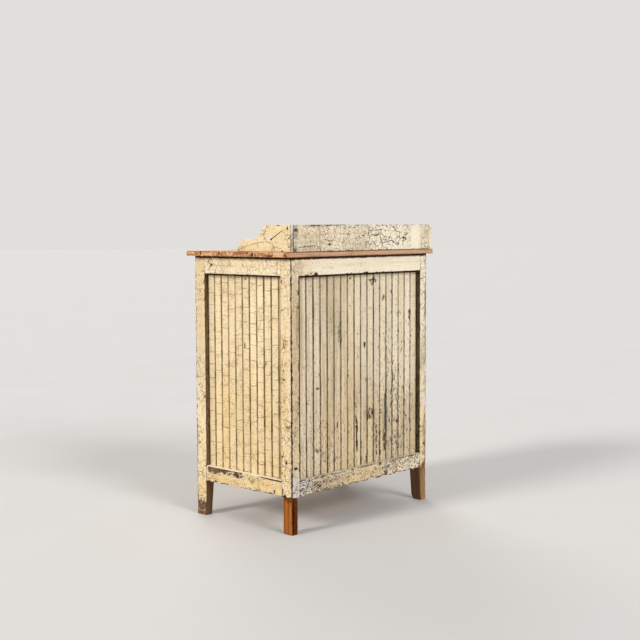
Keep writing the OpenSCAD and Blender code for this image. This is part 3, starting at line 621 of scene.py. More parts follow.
backBoardJob = dict(
    cream="backCream", shift=(0.9, 0.4, 0.2), primerLeft=0.1, rim=0.25, woodTones=("chipDark", "crackBrown"),
    bead=("x", 0.3492, beadPitch), filmAmount=0.32, streakDirt=0.42, streakTone="warmGrey", hairDirt=0.4,
    paleStreaks=0.6, stripGrey=0.2, beadTones=(-0.22, 0.12), specks=0.042,
    levels=[dict(spacing=0.05, wide=0.0009, depth=0.4, bend=0.05, there=(0.42, 0.6), tone="crackGrey")],
    nets=[dict(fineNet, depth=0.4, tone="crackGrey")], wear=0.064, lowTop=0.85, flakeScale=190,
    flakeStretch=0.3, beadDirt=(0.6, 1.0), beadWidth=(0.0031, 0.0057),
    # painted shadow with some dirt: the bands and crisp dark lines under the top rail and beside the posts;
    # the last seam is a dirty bead line
    grimeAndShade=[("z", topRailUnder, 0.024, 0.6), ("x", -postSide, 0.008, 0.8), ("x", postSide, 0.01, 0.7)],
    seamsShadowsAndHighlights=[("z", topRailUnder, 0.0092, "seamBrown", 1.0), ("x", -postSide, 0.004, "seamBrown", 0.9),
        ("x", 0.3458, 0.0036, "beadDark", 0.95)],
    worn=onBack(panelBack, 50, [(-200, 380, 200, 280, 0.055), (-220, 650, 180, 300),
        (200, 280, 200, 220, 0.03), (-86, 945, 36, 22, 0.16), (-152, 872, 26, 26, 0.14),
        (-199, 898, 14, 20, 0.13), (-320, 795, 20, 34, 0.12), (117, 745, 26, 85, 0.11),
        (-32, 690, 12, 22, 0.18), (251.6, 300, 14, 45, 0.06), (210, 265, 30, 40, 0.03),
        (-68, 408, 34, 40, 0.13), (-228, 255, 22, 80), (-246.5, 345, 18, 40, 0.05), (-340, 402, 14, 40, 0.12),
        (14, 330, 10, 85, 0.2), (133, 385, 8, 20, 0.2)], 0.04),
    stains=onBack(panelBack, 50, [(-220, 800, 400, 460, "whiteCream", 0.9),
        (345, 800, 35, 260, "warmGrey", 0.4), (-158, 370, 16, 150, "blueStain", 0.75),
        (-64, 408, 50, 30, "crackGrey", 0.6), (-210, 300, 120, 140, "crackGrey", 0.22),
        (100, 300, 350, 200, "yellowCream", 0.3), (118, 770, 22, 100, "blueStain", 0.5),
        (345, 335, 30, 40, "blueStain", 0.35)]),
    dashes=onBack(panelBack, 10, [
        (-166.9, 330, 12, 150), (-127.2, 280, 12, 50), (150.7, 385, 12, 20, 0.9)], 1),
    scarsAndShade=onBack(panelBack, 10, [(246, 541, 11, 7, "chipDark", 0.9), (-33, 687, 6, 14, "chipDark", 0.9),
        (-66, 948, 14, 5), (-78.6, 931, 8, 6), (-318, 783, 6, 8), (54, 958.5, 7, 6, "chipDark", 0.9),
        (56, 850, 5, 5), (10.3, 736, 5, 6, "chipWood", 0.9), (-162.3, 692, 4, 6),
        (-282, 686, 5, 6, "chipDark", 0.7), (132.9, 385, 3.5, 14, "crackBlack", 0.9),
        (251.8, 301, 4, 12, "crackBlack")], "chipDark", 0.8),
    slashes=backLines(panelBack, [(21, 398, 22, 406, 4.2), (16.5, 380, 20.5, 391, 8.4),
        (16.5, 354, 16.5, 365, 7.84), (15, 311, 16, 341, 6.44), (10, 306, 10, 338, 3.08, "whiteCream"),
        (15.8, 285, 15.8, 303, 7.28), (14, 266, 14, 276, 5.88), (20.5, 443, 21.5, 448, 4.2, "chipDark"),
        (27, 456, 27, 461, 4.2, "chipDark"), (-107.5, 345, -107.5, 356, 3.64, "chipDark"),
        (-106, 322, -106, 333, 4.2), (-107, 287, -107, 309, 4.48), (-108.5, 262, -108.5, 274, 4.48),
        (-106, 234, -106, 250, 5.6, "chipDark"), (-129, 232, -129, 246, 6.16),
        (-161.3, 335, -161.3, 478, 5.04, "deepStain"), (-156, 286, -156, 314, 7),
        (-157, 248, -157, 272, 6.72, "chipDark"), (-84, 405, -84, 418, 5.88),
        (-189, 360, -189, 366, 5.04, "chipDark"), (-238, 354, -234, 359, 5.88),
        (-42, 213, -42, 236, 4.2, "chipDark"), (-10, 212, -10, 238, 5.04)], "crackBlack", 1))
boardCut = dict(net=(0, 0, 0.010), dent=0.0004, bite=0, everywhere=True)
leftBoardJob = dict(endBoardJob, shift=(0.6, 0.9, 0.2), dashes=[], scarsAndShade=[], stains=[])
for n, paint, job, away in (
        ("end_right_boards", "endBoardPaint", endBoardJob, (-1, 0, 0)),
        ("end_left_boards", "leftBoardPaint", leftBoardJob, (1, 0, 0)),
        ("back_boards", "backBoardPaint", backBoardJob, (0, -1, 0))):
    wornCopy(n, oldPaint(paint, job), dict(boardCut, bareSides=[away]))
print("boards dressed")

# posts
postJobs = {}
postJobs["post_front_right"] = dict(
    shift=(0.2, 0.5, 0.3), lowTop=0.19, lowEnd=0.0, lowWear=0.15, rim=0.3, primerLeft=0.08, flakeScale=140,
    specks=0.05,
    worn=spots([(410, -235, 0, 60, 60, 110, 0.16), (410, -260, 500, 12, 10, 900, 0.14),
        (410, -260, 320, 20, 12, 100, 0.1)]),
    stains=onEnd(endFace, 50, [(-235, 80, 50, 100, "yellowCream", 0.9), (-235, 0, 40, 60, "chipWood", 0.6)]))
postJobs["post_front_left"] = dict(
    shift=(0.7, 0.2, 0.6), lowTop=0.16, lowEnd=0.0, lowWear=0.24, rim=0.3, primerLeft=0.1)
postJobs["post_rear_right"] = dict(
    shift=(0.1, 0.8, 0.4), wear=0.02, woodTones=("crackBlack", "chipDark"), primerLeft=0.2, streakDirt=0.38,
    hairDirt=0.3, specks=0.045,
    worn=spots([(410, 274, 600, 12, 12, 1200, 0.17), (400, 274, 450, 30, 10, 400, 0.03),
        (410, 244, 274.8, 10, 12, 14, 0.18), (410, 215, 180, 10, 30, 50, 0.05),
        (410, 236, 160, 12, 40, 30, 0.1)]),
    stains=spots([(378, 274, 800, 12, 20, 120, "crackGrey"), (390, 276, 990, 50, 20, 60, "paleCream", 0.7),
        (398, 276, 830, 16, 20, 70), (390, 276, 180, 50, 12, 85, "primer", 1),
        (390, 276, 600, 40, 10, 600, "warmGrey", 0.55)], "yellowCream", 0.8),
    scarsAndShade=spots([(390, 274, 253.5, 16, 4, 8, "crackBlack", 0.95)])
    + onEnd(endFace, 4, [(243.8, 274.8, 9, 10, "chipDark", 0.95), (223.4, 295, 6, 6), (231, 624, 5, 6),
        (234.8, 589, 7, 5), (236, 223, 4, 6, "chipDark", 0.7),
        (222.9, 233.6, 5, 6, "chipDark", 0.85)], "chipDark", 0.9),
    slashes=endLines(endFace, [(274, low, 274, high, *own) for low, high, *own in (
        (142, 170, 2.2, "crackBrown"), (195, 240, 4.2), (262, 345, 2.4, "crackBrown"), (362, 420, 3.6),
        (435, 560, 2.2, "crackBrown"), (580, 625, 4), (640, 735, 2.4, "crackBrown"), (755, 810, 4.2),
        (820, 900, 2.4, "crackBrown"), (915, 940, 4), (950, 1010, 2.4),
        (1020, 1045, 3.6))], "seamBrown", 0.95))
postJobs["post_rear_left"] = dict(
    shift=(0.5, 0.1, 0.9), lowWear=0.05, primerLeft=0.0, wear=0.02, rim=0.35, specks=0.06,
    recessShadeTone="recessShadeDark", woodTones=("crackBrown", "agedPale"),
    worn=spots([(-390, 260, 40, 60, 60, 170, 0.34)])
    + onBack(backFace, 12, [(-395, 250, 30, 160, 0.08), (-410, 600, 14, 900, 0.13),
        (-402, 840, 14, 140, 0.12)]),
    stains=onBack(backFace, 20, [(-390, 440, 30, 60, "primer"), (-390, 850, 50, 500, "whiteCream", 0.9),
        (-392, 620, 30, 100, "warmGrey", 0.6), (-400, 300, 20, 100)], "warmGrey", 0.7),
    slashes=backLines(backFace, [(-406, 905, -396, 885, 1.6), (-407, 845, -394, 815, 2, "crackBrown", 0.85),
        (-405, 790, -393, 765, 1.6), (-407, 930, -398, 905, 1.8, "chipDark"),
        (-408, 735, -397, 700, 1.8, "chipDark"), (-406, 620, -398, 580, 2), (-408, 820, -392, 780, 2),
        (-408, 875, -398, 850, 2.2, "crackBrown", 0.85), (-407, 690, -394, 655, 2),
        (-408, 1035, -398, 1015, 2.4, "crackBrown", 0.85), (-406, 530, -396, 500, 2)], "crackBrown", 0.8),
    scarsAndShade=onBack(backFace, 10, [(-398, 243, 12, 9, "grimeAndShade", 0.9), (-404, 360, 5, 12, "crackBrown", 0.8)]))
# painted shadow under the counter, painted shade on the recess sides beside the sunk panels, and the
# unpainted inner sides darkened partly as old wood and partly as painted shade
usualPost = dict(
    nets=[fineNet, bigNet], streakDirt=0.25, grimeAndShade=[shadeUnderCounter], seamsShadowsAndHighlights=[shadowLineUnderCounter],
    recessShadeTone="recessShadeBrown", plainDark=0.55)
postCut = dict(ease=0.0016, net=(0.009, 0.009, 0.0075), recessed=True)
inwards = dict(front=(0, 1, 0), rear=(0, -1, 0), back=(0, -1, 0), right=(-1, 0, 0), left=(1, 0, 0))
for n, job in postJobs.items():
    paintPiece(n, {**usualPost, **job}, dict(postCut, bareSides=[inwards[w] for w in n.split("_")[1:]]))
print("posts dressed")

# rails of the ends and the back
railJobs = {}
railJobs["end_right_top_rail"] = dict(
    grainWay="y", shift=(0.3, 0.2, 0.9), wear=-0.01, cream="railCream", hairDirt=0.1, specks=0.0,
    nets=[dict(fineNet, cell=0.015, stretch=(1, 1, 0.7), tone="crackTan", least=0.7),
        dict(bigNet, depth=0.9, cell=0.034, least=0.4)],
    scarsAndShade=spots([(410, -161, 1014.5, 4, 11, 6, "chipDark", 0.9)]),
    slashes=endLines(endFace, [(-160, 1016, -185, 1022, 1.2, "crackBrown", 0.8), (-100, 1030, -85, 985, 1),
        (20, 1040, 60, 985, 1), (-120, 1012, -20, 1008, 1)], "crackTan", 0.9))
railJobs["end_right_bottom_rail"] = dict(
    grainWay="y", shift=(0.8, 0.6, 0.1), wear=0.045, edgeWear=0.14, edgeWidth=0.009, primerLeft=0.05,
    streakDirt=0.9, filmAmount=0.5, specks=0.05, flakeScale=150, wornRagged=2.2,
    worn=onEnd(endFace, 20, [(-168, 188, 55, 26, 0.15), (-150, 194, 60, 14, 0.12), (-85, 192, 50, 22, 0.17),
        (-20, 190, 45, 22, 0.2), (165, 200.5, 75, 6, 0.24)]),
    stains=onEnd(endFace, 20, [(-150, 185, 80, 30, "chipWood", 0.25), (0, 170, 400, 60, "yellowCream", 0.8)]),
    # painted highlight on the lit top edge of the rail, with pale paint flakes along it
    seamsShadowsAndHighlights=[("z", bottomRailTop, 0.003, "whiteCream", 0.9)],
    scarsAndShade=onEnd(endFace, 4, [(181, 155, 6, 10, "chipDark", 0.85), (-30, 193, 14, 5, "chipDark", 0.9)]),
    slashes=endLines(endFace, [(112, 200.5, 214, 197.5, 2.6, "chipDark", 0.95),
        (-52, 199, -15, 188.5, 2.2, "chipDark", 0.9), (-5, 187, 16, 190.5, 1.6, "chipDark", 0.85),
        (-196, 181.5, -120, 177.5, 1.6, "crackBrown", 0.8)]))
railJobs["end_left_top_rail"] = dict(grainWay="y", shift=(0.4, 0.7, 0.5))
railJobs["end_left_bottom_rail"] = dict(
    grainWay="y", shift=(0.1, 0.3, 0.8), wear=0.03, edgeWear=0.16,
    worn=spots([(-410, 50, 195, 20, 70, 16, 0.25)]))
railJobs["back_top_rail"] = dict(
    grainWay="x", shift=(0.5, 0.5, 0.3), cream="whiteCream", wear=-0.03, edgeWear=0.08, filmAmount=0.05,
    streakDirt=0.35, hairDirt=0.22, paleStreaks=0.7, nets=[dict(fineNet, depth=0.35)], flakeScale=170,
    primerLeft=0.0, wornRagged=2.0, woodTones=("crackBlack", "chipDark"),
    stains=onBack(backFace, 20, [(360, 995, 26, 70, "greyFilm", 0.6), (295, 985, 45, 12, "warmGrey"),
        (330, 1000, 60, 50)], "yellowCream", 0.5),
    worn=onBack(backFace, 20, [(300, 984, 60, 18, 0.17), (270, 989, 20, 16, 0.1), (80, 981, 50, 6),
        (-30, 981, 30, 5)], 0.2))
railJobs["back_bottom_rail"] = dict(
    grainWay="x", shift=(0.2, 0.9, 0.6), cream="backCream", wear=0.114, edgeWear=0.1, edgeWidth=0.01,
    flakeStretch=0.7, flakeScale=165, primerLeft=0.15, rim=0.4, woodTones=("crackBlack", "crackBrown"),
    streakDirt=0.5, paleStreaks=0.5, filmAmount=0.35, specks=0.06, nets=[dict(fineNet, cell=0.012)],
    # painted highlight on the lit top edge of the rail, with pale paint flakes along it
    seamsShadowsAndHighlights=[("z", bottomRailTop, 0.0024, "paleCream", 0.45)],
    worn=onBack(backFace, 20, [(-250, 175, 260, 60, 0.02), (220, 185, 120, 20, 0.04),
        (-144, 150, 14, 22, 0.14), (345, 175, 60, 40, 0.06), (270, 165, 50, 30, 0.07)]),
    stains=onBack(backFace, 20, [(345, 178, 75, 45, "primer", 1), (-144, 177, 16, 50, "blueStain", 0.9),
        (-146, 178, 9, 60, "deepStain", 0.9), (50, 170, 250, 50), (220, 170, 140, 50, "warmGrey"),
        (-260, 175, 180, 60, "paleCream"), (-200, 185, 30, 40, "greyFilm", 0.7)], "yellowCream", 0.6),
    slashes=backLines(backFace, [(366, 196.5, 286, 202.5, 2.6), (366, 192.5, 286, 198.5, 1.5, "crackBlack"),
        (366, 196.5, 366, 150, 1.3, "crackBlack", 0.8), (286, 202.5, 276, 196, 1.8, "crackBlack", 0.9),
        (173, 203.5, 99, 204, 2.6), (173, 200, 99, 200, 1.4, "crackBlack", 0.9)], "primer", 0.95))
railJobs["front_top_rail"] = dict(
    grainWay="x", shift=(0.6, 0.1, 0.5),
    nets=[dict(fineNet, depth=0.6), dict(bigNet, depth=0.6, there=(0.46, 0.6))])
railJobs["front_bottom_rail"] = dict(
    grainWay="x", shift=(0.2, 0.4, 0.7), wear=0.03, edgeWear=0.18,
    worn=spots([(50, -260, 195, 160, 20, 14, 0.2)]))
railShapes = dict(
    end_right_bottom_rail=dict(ragged=(2, -1, 0.003, 0.012)),
    back_bottom_rail=dict(ragged=(2, -1, 0.0075, 0.016), bite=0.006))
# painted shadow under the counter on the top rails, and painted shade along the rail's underside
topRail = dict(grimeAndShade=[shadeUnderCounter], seamsShadowsAndHighlights=[shadowLineUnderCounter, ("z", topRailUnder, 0.0016, "seamBrown", 0.9)])
railNets = dict(x=(0.007, 0.009, 0.007), y=(0.009, 0.007, 0.007))
for n, job in railJobs.items():
    top = "top" in n
    sides = [inwards[w] for w in n.split("_") if w in inwards] + ([] if top else [(0, 0, -1)])
    cut = dict(ease=0.0014, net=railNets[job["grainWay"]], bareSides=sides, **railShapes.get(n, {}))
    paintPiece(n, {"nets": [fineNet, bigNet], **(topRail if top else {}), **job}, cut)
print("rails dressed")

# gallery
galleryJobs = {}
galleryJobs["gallery_back"] = dict(
    grainWay="x", shift=(0.7, 0.3, 0.1), cream="paleCream", filmAmount=0.16, streakDirt=0.3,
    streakTone="warmGrey", hairDirt=0.26, paleStreaks=0.7, edgeWear=0.16, wear=0.03, flakeScale=170,
    specks=0.05,
    nets=[dict(fineNet, depth=0.75, cell=0.016, wide=0.0011, there=(0.36, 0.5), least=0.4),
        dict(cell=0.027, thin=0.0002, wide=0.0023, depth=1.0, bend=55, bendBy=0.022, widthScale=32,
            tone="crackBlack", where=spots([(-135, 288, 1118, 190, 100, 120, 1.6)])),
        dict(cell=0.02, thin=0.0002, wide=0.0018, depth=0.85, bend=60, bendBy=0.02, widthScale=34,
            tone="crackBrown", where=spots([(180, 288, 1118, 300, 100, 120, 1.2)])),
        dict(cell=0.012, stretch=(0.6, 1, 1), thin=0.0004, wide=0.0014, depth=0.75, tone="crackGrey",
            where=spots([(-395, 288, 1110, 50, 100, 90, 1.6)]))],
    calm=spots([(-318, 288, 1120, 40, 30, 120, 1.6)]),
    worn=onBack(galleryFace, 20, [(396, 1150, 20, 14, 0.22), (396, 1077, 26, 10), (340, 1088, 60, 7, 0.16),
        (211.6, 1095, 14, 6, 0.25), (210, 1167, 140, 6, 0.14), (-60, 1127, 20, 4)], 0.2),
    seamsShadowsAndHighlights=[("z", counterTop, 0.0022, "seamBrown", 1.0)],
    stains=onBack(galleryFace, 30, [(400, 1118, 20, 90, "blueStain", 0.55),
        (300, 1100, 130, 50, "warmGrey", 0.45), (260, 1130, 200, 60, "yellowCream", 0.3),
        (60, 1100, 140, 50, "warmGrey", 0.25), (280, 1166, 100, 9, "beadDirt", 0.7), (-318, 1120, 40, 100),
        (-170, 1120, 240, 100), (200, 1120, 200, 80, "whiteCream", 0.35)], "whiteCream", 1),
    scarsAndShade=onBack(galleryFace, 10, [(396.5, 1149, 14, 8, "crackBlack", 0.75), (211.6, 1095, 12, 5),
        (18, 1127, 8, 4, "crackBlack", 0.8), (-60, 1127, 16, 3)], "crackBlack", 0.9),
    slashes=backLines(galleryFace, [(409.5, 1070, 409.5, 1168, 2.6, "seamBrown"),
        (385, 1084, 285, 1092, 1.8, "crackBrown", 0.8), (266, 1070, 266, 1165, 1.8, "crackBrown", 0.85),
        (220, 1109, 180, 1110, 1.6, "crackBlack", 0.8), (-22.6, 1158, -18, 1135, 2.4, "crackBlack", 0.95),
        (-18, 1135, -26, 1112, 2.2), (-22.6, 1146, -100, 1150, 1.8, "crackBlack", 0.85),
        (-90, 1115, -105, 1096, 2.4), (-105, 1096, -165, 1107, 2.2),
        (-165, 1107, -200, 1085, 2, "crackBlack", 0.85)], "crackBlack", 0.9))
galleryJobs["gallery_end_right"] = dict(
    grainWay="y", shift=(0.4, 0.6, 0.8),
    nets=[dict(fineNet, depth=0.6), dict(bigNet, depth=0.8, cell=0.045, tone="crackBrown", least=0.3)],
    edgeWear=0.1, hairDirt=0.12, seamsShadowsAndHighlights=[gallerySeam],
    stains=spots([(418, 288.5, 1119, 30, 5, 90, "primer", 0.9),
        (418, 288.5, 1100, 30, 5, 50, "warmGrey", 0.8)])
    + onEnd(scrollFace, 30, [(168, 1122, 24, 22, "primer", 0.6), (30, 1083, 30, 12, "greyFilm", 0.4)]),
    scarsAndShade=onEnd(scrollFace, 10, [(153.8, 1119.6, 4, 4, "chipDark", 0.9), (187.3, 1115.7, 6, 5),
        (272.5, 1157, 6, 9), (278, 1120, 4, 3, "chipDark", 0.8), (278, 1088, 4, 6, "chipDark", 0.8),
        (12, 1074.5, 7, 3.5, "crackBrown", 0.9), (26, 1078, 5, 3, "crackBrown", 0.8)], "crackBlack", 0.95),
    slashes=endLines(scrollFace, [(187.3, 1115.7, 244, 1147.2, 2.1, "crackBlack", 0.95),
        (244, 1147.2, 270, 1154.5, 1.4, "crackBrown"), (154.5, 1118.5, 166, 1104.5, 1.9, "crackBlack", 0.85),
        (166, 1104.5, 181, 1105, 1.9, "crackBlack", 0.85), (181, 1105, 197.7, 1088.7, 1.7, "crackBrown"),
        (197.7, 1088.7, 196, 1070, 1.6, "crackBrown", 0.85), (155, 1106, 90, 1098, 1.5),
        (197.7, 1088.7, 240, 1080, 1.6, "crackBrown", 0.85), (235, 1150, 275, 1128, 1.5),
        (90, 1098, 25, 1082, 1.4), (150, 1135, 152, 1121, 1.3, "crackBrown", 0.7),
        (288, 1070, 288, 1168, 2.2, "seamBrown", 0.85)], "crackTan", 0.9))
galleryJobs["gallery_end_left"] = dict(
    grainWay="y", cream="paleCream", shift=(0.1, 0.1, 0.4),
    nets=[dict(fineNet, depth=0.5), dict(bigNet, depth=0.5)], seamsShadowsAndHighlights=[gallerySeam],
    slashes=endLines(-endFace, [(288, 1070, 288, 1168, 1.4, "crackBrown", 0.8)]))
galleryNets = dict(x=(0.0065, 0, 0.006), y=(0, 0.006, 0.006))
for n, job in galleryJobs.items():
    paintPiece(n, job, dict(ease=0.0014, net=galleryNets[job["grainWay"]], bite=0.004))
print("gallery dressed")

# doors
doorCut = dict(ease=0.0015, net=(0.009, 0, 0.009), bite=0.0035, bareSides=[(0, 1, 0)])
doorCracks = [dict(fineNet, depth=0.6, cell=0.012), dict(bigNet, depth=0.6, there=(0.46, 0.60))]
handMark = onBack(doorFace, 50, [(0, 600, 75, 85, "hand", 0.75), (0, 600, 18, 160, "grimeAndShade", 0.5)])
doorGrain = dict(hinge_stile="z", lock_stile="z", top_rail="x", bottom_rail="x")
boardsInRail = 0.010
for door, away, firstBead in (("door_left", 0.3, -0.07325), ("door_right", 0.8, 0.07325)):
    for part, way in doorGrain.items():
        job = dict(
            grainWay=way, shift=(away, len(part) * 0.37, 0.6), nets=doorCracks, edgeWear=0.15,
            stains=handMark if part == "lock_stile" else [], wear=0.03 if part == "bottom_rail" else 0.0)
        paintPiece(door + "_" + part, job, doorCut, door)
    n = door + "_boards"
    low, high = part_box(n)
    bottom, top = low.z + boardsInRail, high.z - boardsInRail
    job = dict(
        shift=(away, 0.7, 0.1), nets=[dict(fineNet, cell=0.011, depth=0.5)], filmAmount=0.12,
        bead=("x", firstBead, beadPitch), levels=endBoardJob["levels"],
        # painted shade with some dirt: darker bands on the boards under the door's top rail and above its
        # bottom rail, and a crisp dark line under the top rail
        grimeAndShade=[("z", bottom, 0.008, 0.5), ("z", top, 0.020, 0.6)],
        seamsShadowsAndHighlights=[("z", top, 0.003, "seamBrown", 0.8)])
    wornCopy(n, oldPaint(n + "Paint", job), dict(boardCut, bareSides=[(0, 1, 0)]), door)
print("doors dressed")

# bare wood
usualWood = dict(shift=(0, 0, 0), ring=0.0042, dirt=0.35, edgeDirt=0.3, shine=0.3, scarsAndShade=[])


def bareWood(name, job):
    job = {**usualWood, **job}
    way = job["along"]
    f = Finish(name, job["shift"])
    f.ragged = f.cloud(90, 4, 0.6)
    bent = f.bent(f.grain(way, 1.6, 7, 2, 0.5, colour=True), 0.03)
    flat = f.vector("MULTIPLY", f.vector("SUBTRACT", bent, job["heart"]), [float(a != way) for a in "xyz"])
    turns = f.calc("DIVIDE", f.vector("LENGTH", flat), job["ring"])
    late = f.fade(f.calc("PINGPONG", turns, 1.0), 0.45, 0.95)  # the dark wood of each ring
    fibre = f.grain(way, 14, 420, 3, 0.7)
    drift = f.grain(way, 2.5, 12, 3, 0.55)
    f.colour = job["pale"]
    f.coat(f.times(late, 0.75), job["deep"])
    f.coat(f.fade(drift, 0.36, 0.72, 0, 0.65), job["worn"])
    f.coat(f.fade(fibre, 0.48, 0.78, 0, 0.5), job["dark"])
    dirt = f.fade(f.cloud(8, 4, 0.6), 0.50, 0.72, 0, job["dirt"])
    if "box" in job:
        edge = f.torn(f.edge(*job["box"]), 0.008)
        dirt = f.plus(dirt, f.fade(edge, 0.006, 0.0, 0, job["edgeDirt"]))
    f.coat(dirt, job["dark"])
    if "endGrain" in job:  # the sawn ends of the counter drink more dirt and show short dark checks
        end = f.fade(f.calc("ABSOLUTE", f.axes["x"]), job["endGrain"] - 0.0012, job["endGrain"] - 0.0004)
        check = f.cloud(1.0, 4, 0.7, (20, 110, 70))
        level = f.cloud(1.0, 3, 0.6, (20, 14, 150))
        endTone = f.blend(f.fade(level, 0.40, 0.62), job["endPale"], job["endDeep"])
        endTone = f.blend(f.fade(check, 0.50, 0.62), endTone, job["endDark"])
        topDirt = f.fade(f.axes["z"], counterTop - 0.0045, counterTop - 0.0005, 0, 0.45)
        endTone = f.blend(topDirt, endTone, job["endDark"])
        f.coat(end, endTone)
    # stains and dark marks, and on the foot also painted shade on its back face and along its top
    for centre, size, tone, amount in job["scarsAndShade"]:
        f.coat(f.fade(f.patch(centre, size, 1.2), 0.2, 0.6, 0, amount), tone)
    rough = f.plus(f.fade(drift, 0.3, 0.7, 0.48, 0.62), f.times(dirt, 0.3))
    height = f.plus(f.times(late, 0.35), f.times(fibre, -0.5), f.times(f.ragged, 0.2))
    return f.done(rough, height, 0.0008, 0.6, job["shine"])


counterTones = dict(
    pale=card(214, 166, 122), deep=card(178, 122, 82), dark=card(96, 60, 38), worn=card(202, 158, 130),
    endPale=card(238, 184, 124), endDeep=card(176, 112, 60), endDark=card(84, 42, 18),
    along="x", endGrain=counterEnd, edgeDirt=0.65)
endMarks = onEnd(counterEnd, 4, [
    (97, 1058, 10, 8, card(74, 34, 14), 1.0), (190, 1053, 24, 5, card(96, 50, 26), 0.9),
    (272, 1056, 14, 10, card(104, 54, 30), 0.8), (-90, 1059, 7, 9, card(96, 54, 28), 0.8),
    (150, 1058, 40, 7, card(150, 88, 50), 0.6), (-225, 1060, 10, 8, card(110, 66, 34), 0.7),
    (40, 1064.5, 60, 3, card(130, 64, 38), 0.7)])
counterCuts = dict(
    counter_board_1=dict(
        heart=(0, -0.19, 0.98), shift=(0.1, 0.0, 0.0), worn=card(206, 162, 118),
        scarsAndShade=spots([(200, -210, 1068, 50, 30, 10, card(120, 80, 50), 0.45),
            (-280, -160, 1068, 16, 10, 10, card(70, 46, 30), 0.8)])),
    counter_board_2=dict(
        heart=(0, -0.06, 1.16), shift=(0.7, 0.0, 0.0), worn=card(190, 146, 104),
        scarsAndShade=spots([(-120, -50, 1068, 70, 35, 10, card(126, 86, 56), 0.4),
            (310, -60, 1068, 10, 8, 10, card(66, 42, 28), 0.85)])),
    counter_board_3=dict(
        heart=(0, 0.04, 0.99), shift=(0.3, 0.0, 0.0), worn=card(202, 158, 116),
        scarsAndShade=spots([(50, 100, 1068, 12, 16, 10, card(72, 46, 30), 0.85),
            (-250, 140, 1068, 60, 50, 10, card(130, 92, 62), 0.35),
            (438, 150, 1067.5, 4, 70, 4.5, card(226, 186, 156), 0.8)])),
    counter_board_4=dict(
        heart=(0, 0.25, 1.14), shift=(0.5, 0.0, 0.0), worn=card(206, 166, 140),
        scarsAndShade=spots([(438, 230, 1067.5, 4, 70, 6, card(226, 186, 156), 0.8)])))
for n, cut in counterCuts.items():
    heart = tuple(a + b for a, b in zip(cut["heart"], cut["shift"]))
    job = {**counterTones, **cut, "heart": heart, "box": boxOf(n), "scarsAndShade": endMarks + cut["scarsAndShade"]}
    wornCopy(n, bareWood(n + "Wood", job), dict(
        ease=0.0022, net=(0.009, 0.009, 0.006), seed=cut["shift"], slot="bare_counter", bite=0.005))
footJob = dict(
    along="z", heart=(0.36, 0.30, 0), pale=card(174, 106, 42), deep=card(122, 62, 20), dark=card(66, 28, 8),
    worn=card(150, 84, 32), box=boxOf("foot_rear_right"), shine=0.05, dirt=0.40, ring=0.0075, edgeDirt=0.45,
    # painted shade: the first two marks darken the back face of the foot, the second as a darker streak in
    # it, and the third darkens its top under the rail
    scarsAndShade=spots([(395, 277.5, 70, 50, 8, 160, card(88, 42, 14), 1.0),
        (404, 277, 70, 10, 8, 160, card(46, 18, 4), 0.9),
        (397.5, 262, 135, 50, 50, 18, card(84, 42, 14), 0.7)]))
wornCopy("foot_rear_right", bareWood("footWood", footJob), dict(
    ease=0.0018, net=(0.008, 0.008, 0.008), slot="bare_fir", bite=0.003))
innerTones = dict(
    along="x", pale=card(196, 160, 114), deep=card(166, 126, 82), dark=card(104, 74, 46),
    worn=card(158, 126, 92), ring=0.005, dirt=0.6, edgeDirt=0.4)
shelfHearts = dict(floor_board=(0, 0.05, 0.12), lower_shelf=(0, -0.03, 0.55), upper_shelf=(0, 0.08, 0.62))
for n, heart in shelfHearts.items():
    wornCopy(n, bareWood(n + "Wood", dict(innerTones, heart=heart, box=boxOf(n))), dict(
        ease=0.0018, net=(0.02, 0.02, 0), slot="inner_wood", seed=(0.2, 0, heart[1])))
innerWood = bareWood("innerWood", dict(innerTones, heart=(0, 0.05, 0.30)))
dress([n for n in cad if "cleats" in n or n == "door_stop"], innerWood)
print("bare wood dressed")


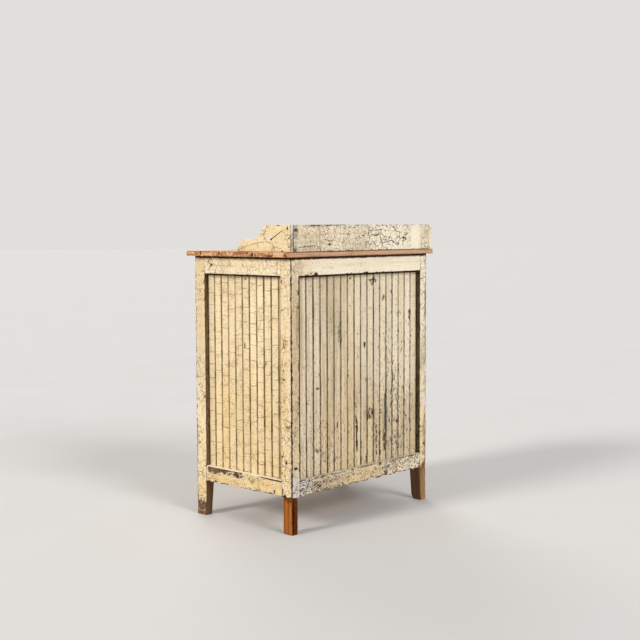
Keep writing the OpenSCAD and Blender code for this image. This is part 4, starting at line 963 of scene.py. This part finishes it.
def metalFinish(name, pale, dark, rust, metal, low, high):
    f = Finish(name)
    mottle = f.cloud(160, 4, 0.65)
    patchy = f.fade(f.cloud(70, 4, 0.7), 0.52, 0.62)
    f.colour = pale
    f.coat(f.fade(mottle, 0.35, 0.7), dark)
    f.coat(f.times(patchy, 0.7), rust)
    f.put(f.times(f.flip(f.times(patchy, 0.8)), metal), f.shader.inputs["Metallic"])
    rough = f.plus(f.fade(f.cloud(60, 3), 0.3, 0.7, low, high), f.times(patchy, 0.2))
    return f.done(rough, f.plus(mottle, f.times(patchy, 0.6)), 0.0004, 0.6)


blackIron = metalFinish(
    "blackIron", card(86, 78, 72), card(48, 42, 38), card(96, 58, 36), 0.85, 0.42, 0.65)
dullSteel = metalFinish(
    "dullSteel", card(176, 172, 164), card(126, 120, 112), card(120, 88, 62), 0.95, 0.3, 0.5)
hinges = [n for n in cad if "hinge" in n and "stile" not in n]
knobs = [n for n in cad if "knob" in n or "rosette" in n]
dress([*hinges, *knobs, "bolt_plate", "bolt_screws", "latch_pawl"], blackIron)
dress(["bolt_rod", "latch_nut"], dullSteel)
print("metal dressed")

# nail heads in the counter
nail = dict(
    size=0.0026, thick=0.0008, up=counterTop - 0.0002, across=(-0.392, 0.0, 0.392),
    rows=(-0.262, -0.125, -0.085, -0.030, 0.012, 0.100, 0.185, 0.222))
heads = bmesh.new()
for x in nail["across"]:
    for y in nail["rows"]:
        where = Matrix.Translation((x, y, nail["up"]))
        bmesh.ops.create_cone(
            heads, cap_ends=True, segments=12, radius1=nail["size"], radius2=nail["size"] * 0.7,
            depth=nail["thick"], matrix=where)
nailData = bpy.data.meshes.new("counterNails")
heads.to_mesh(nailData)
heads.free()
nailData.materials.append(blackIron)
nails = setOut("counterNails", nailData)
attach(nails, "carcass")
print("nails set")

# floor
floorMesh = bmesh.new()
bmesh.ops.create_circle(floorMesh, cap_ends=True, segments=96, radius=60)
floorData = bpy.data.meshes.new("studioFloor")
floorMesh.to_mesh(floorData)
floorMesh.free()
floor = setOut("studioFloor", floorData)
f = Finish("floorPaper")
f.colour = studio["floorColour"]
f.coat(f.fade(f.cloud(1.5, 4), 0.35, 0.7, 0, 0.10), card(206, 200, 192))
floorData.materials.append(f.done(f.fade(f.cloud(3), 0.3, 0.7, 0.8, 0.9), shine=0.05))
print("floor laid")
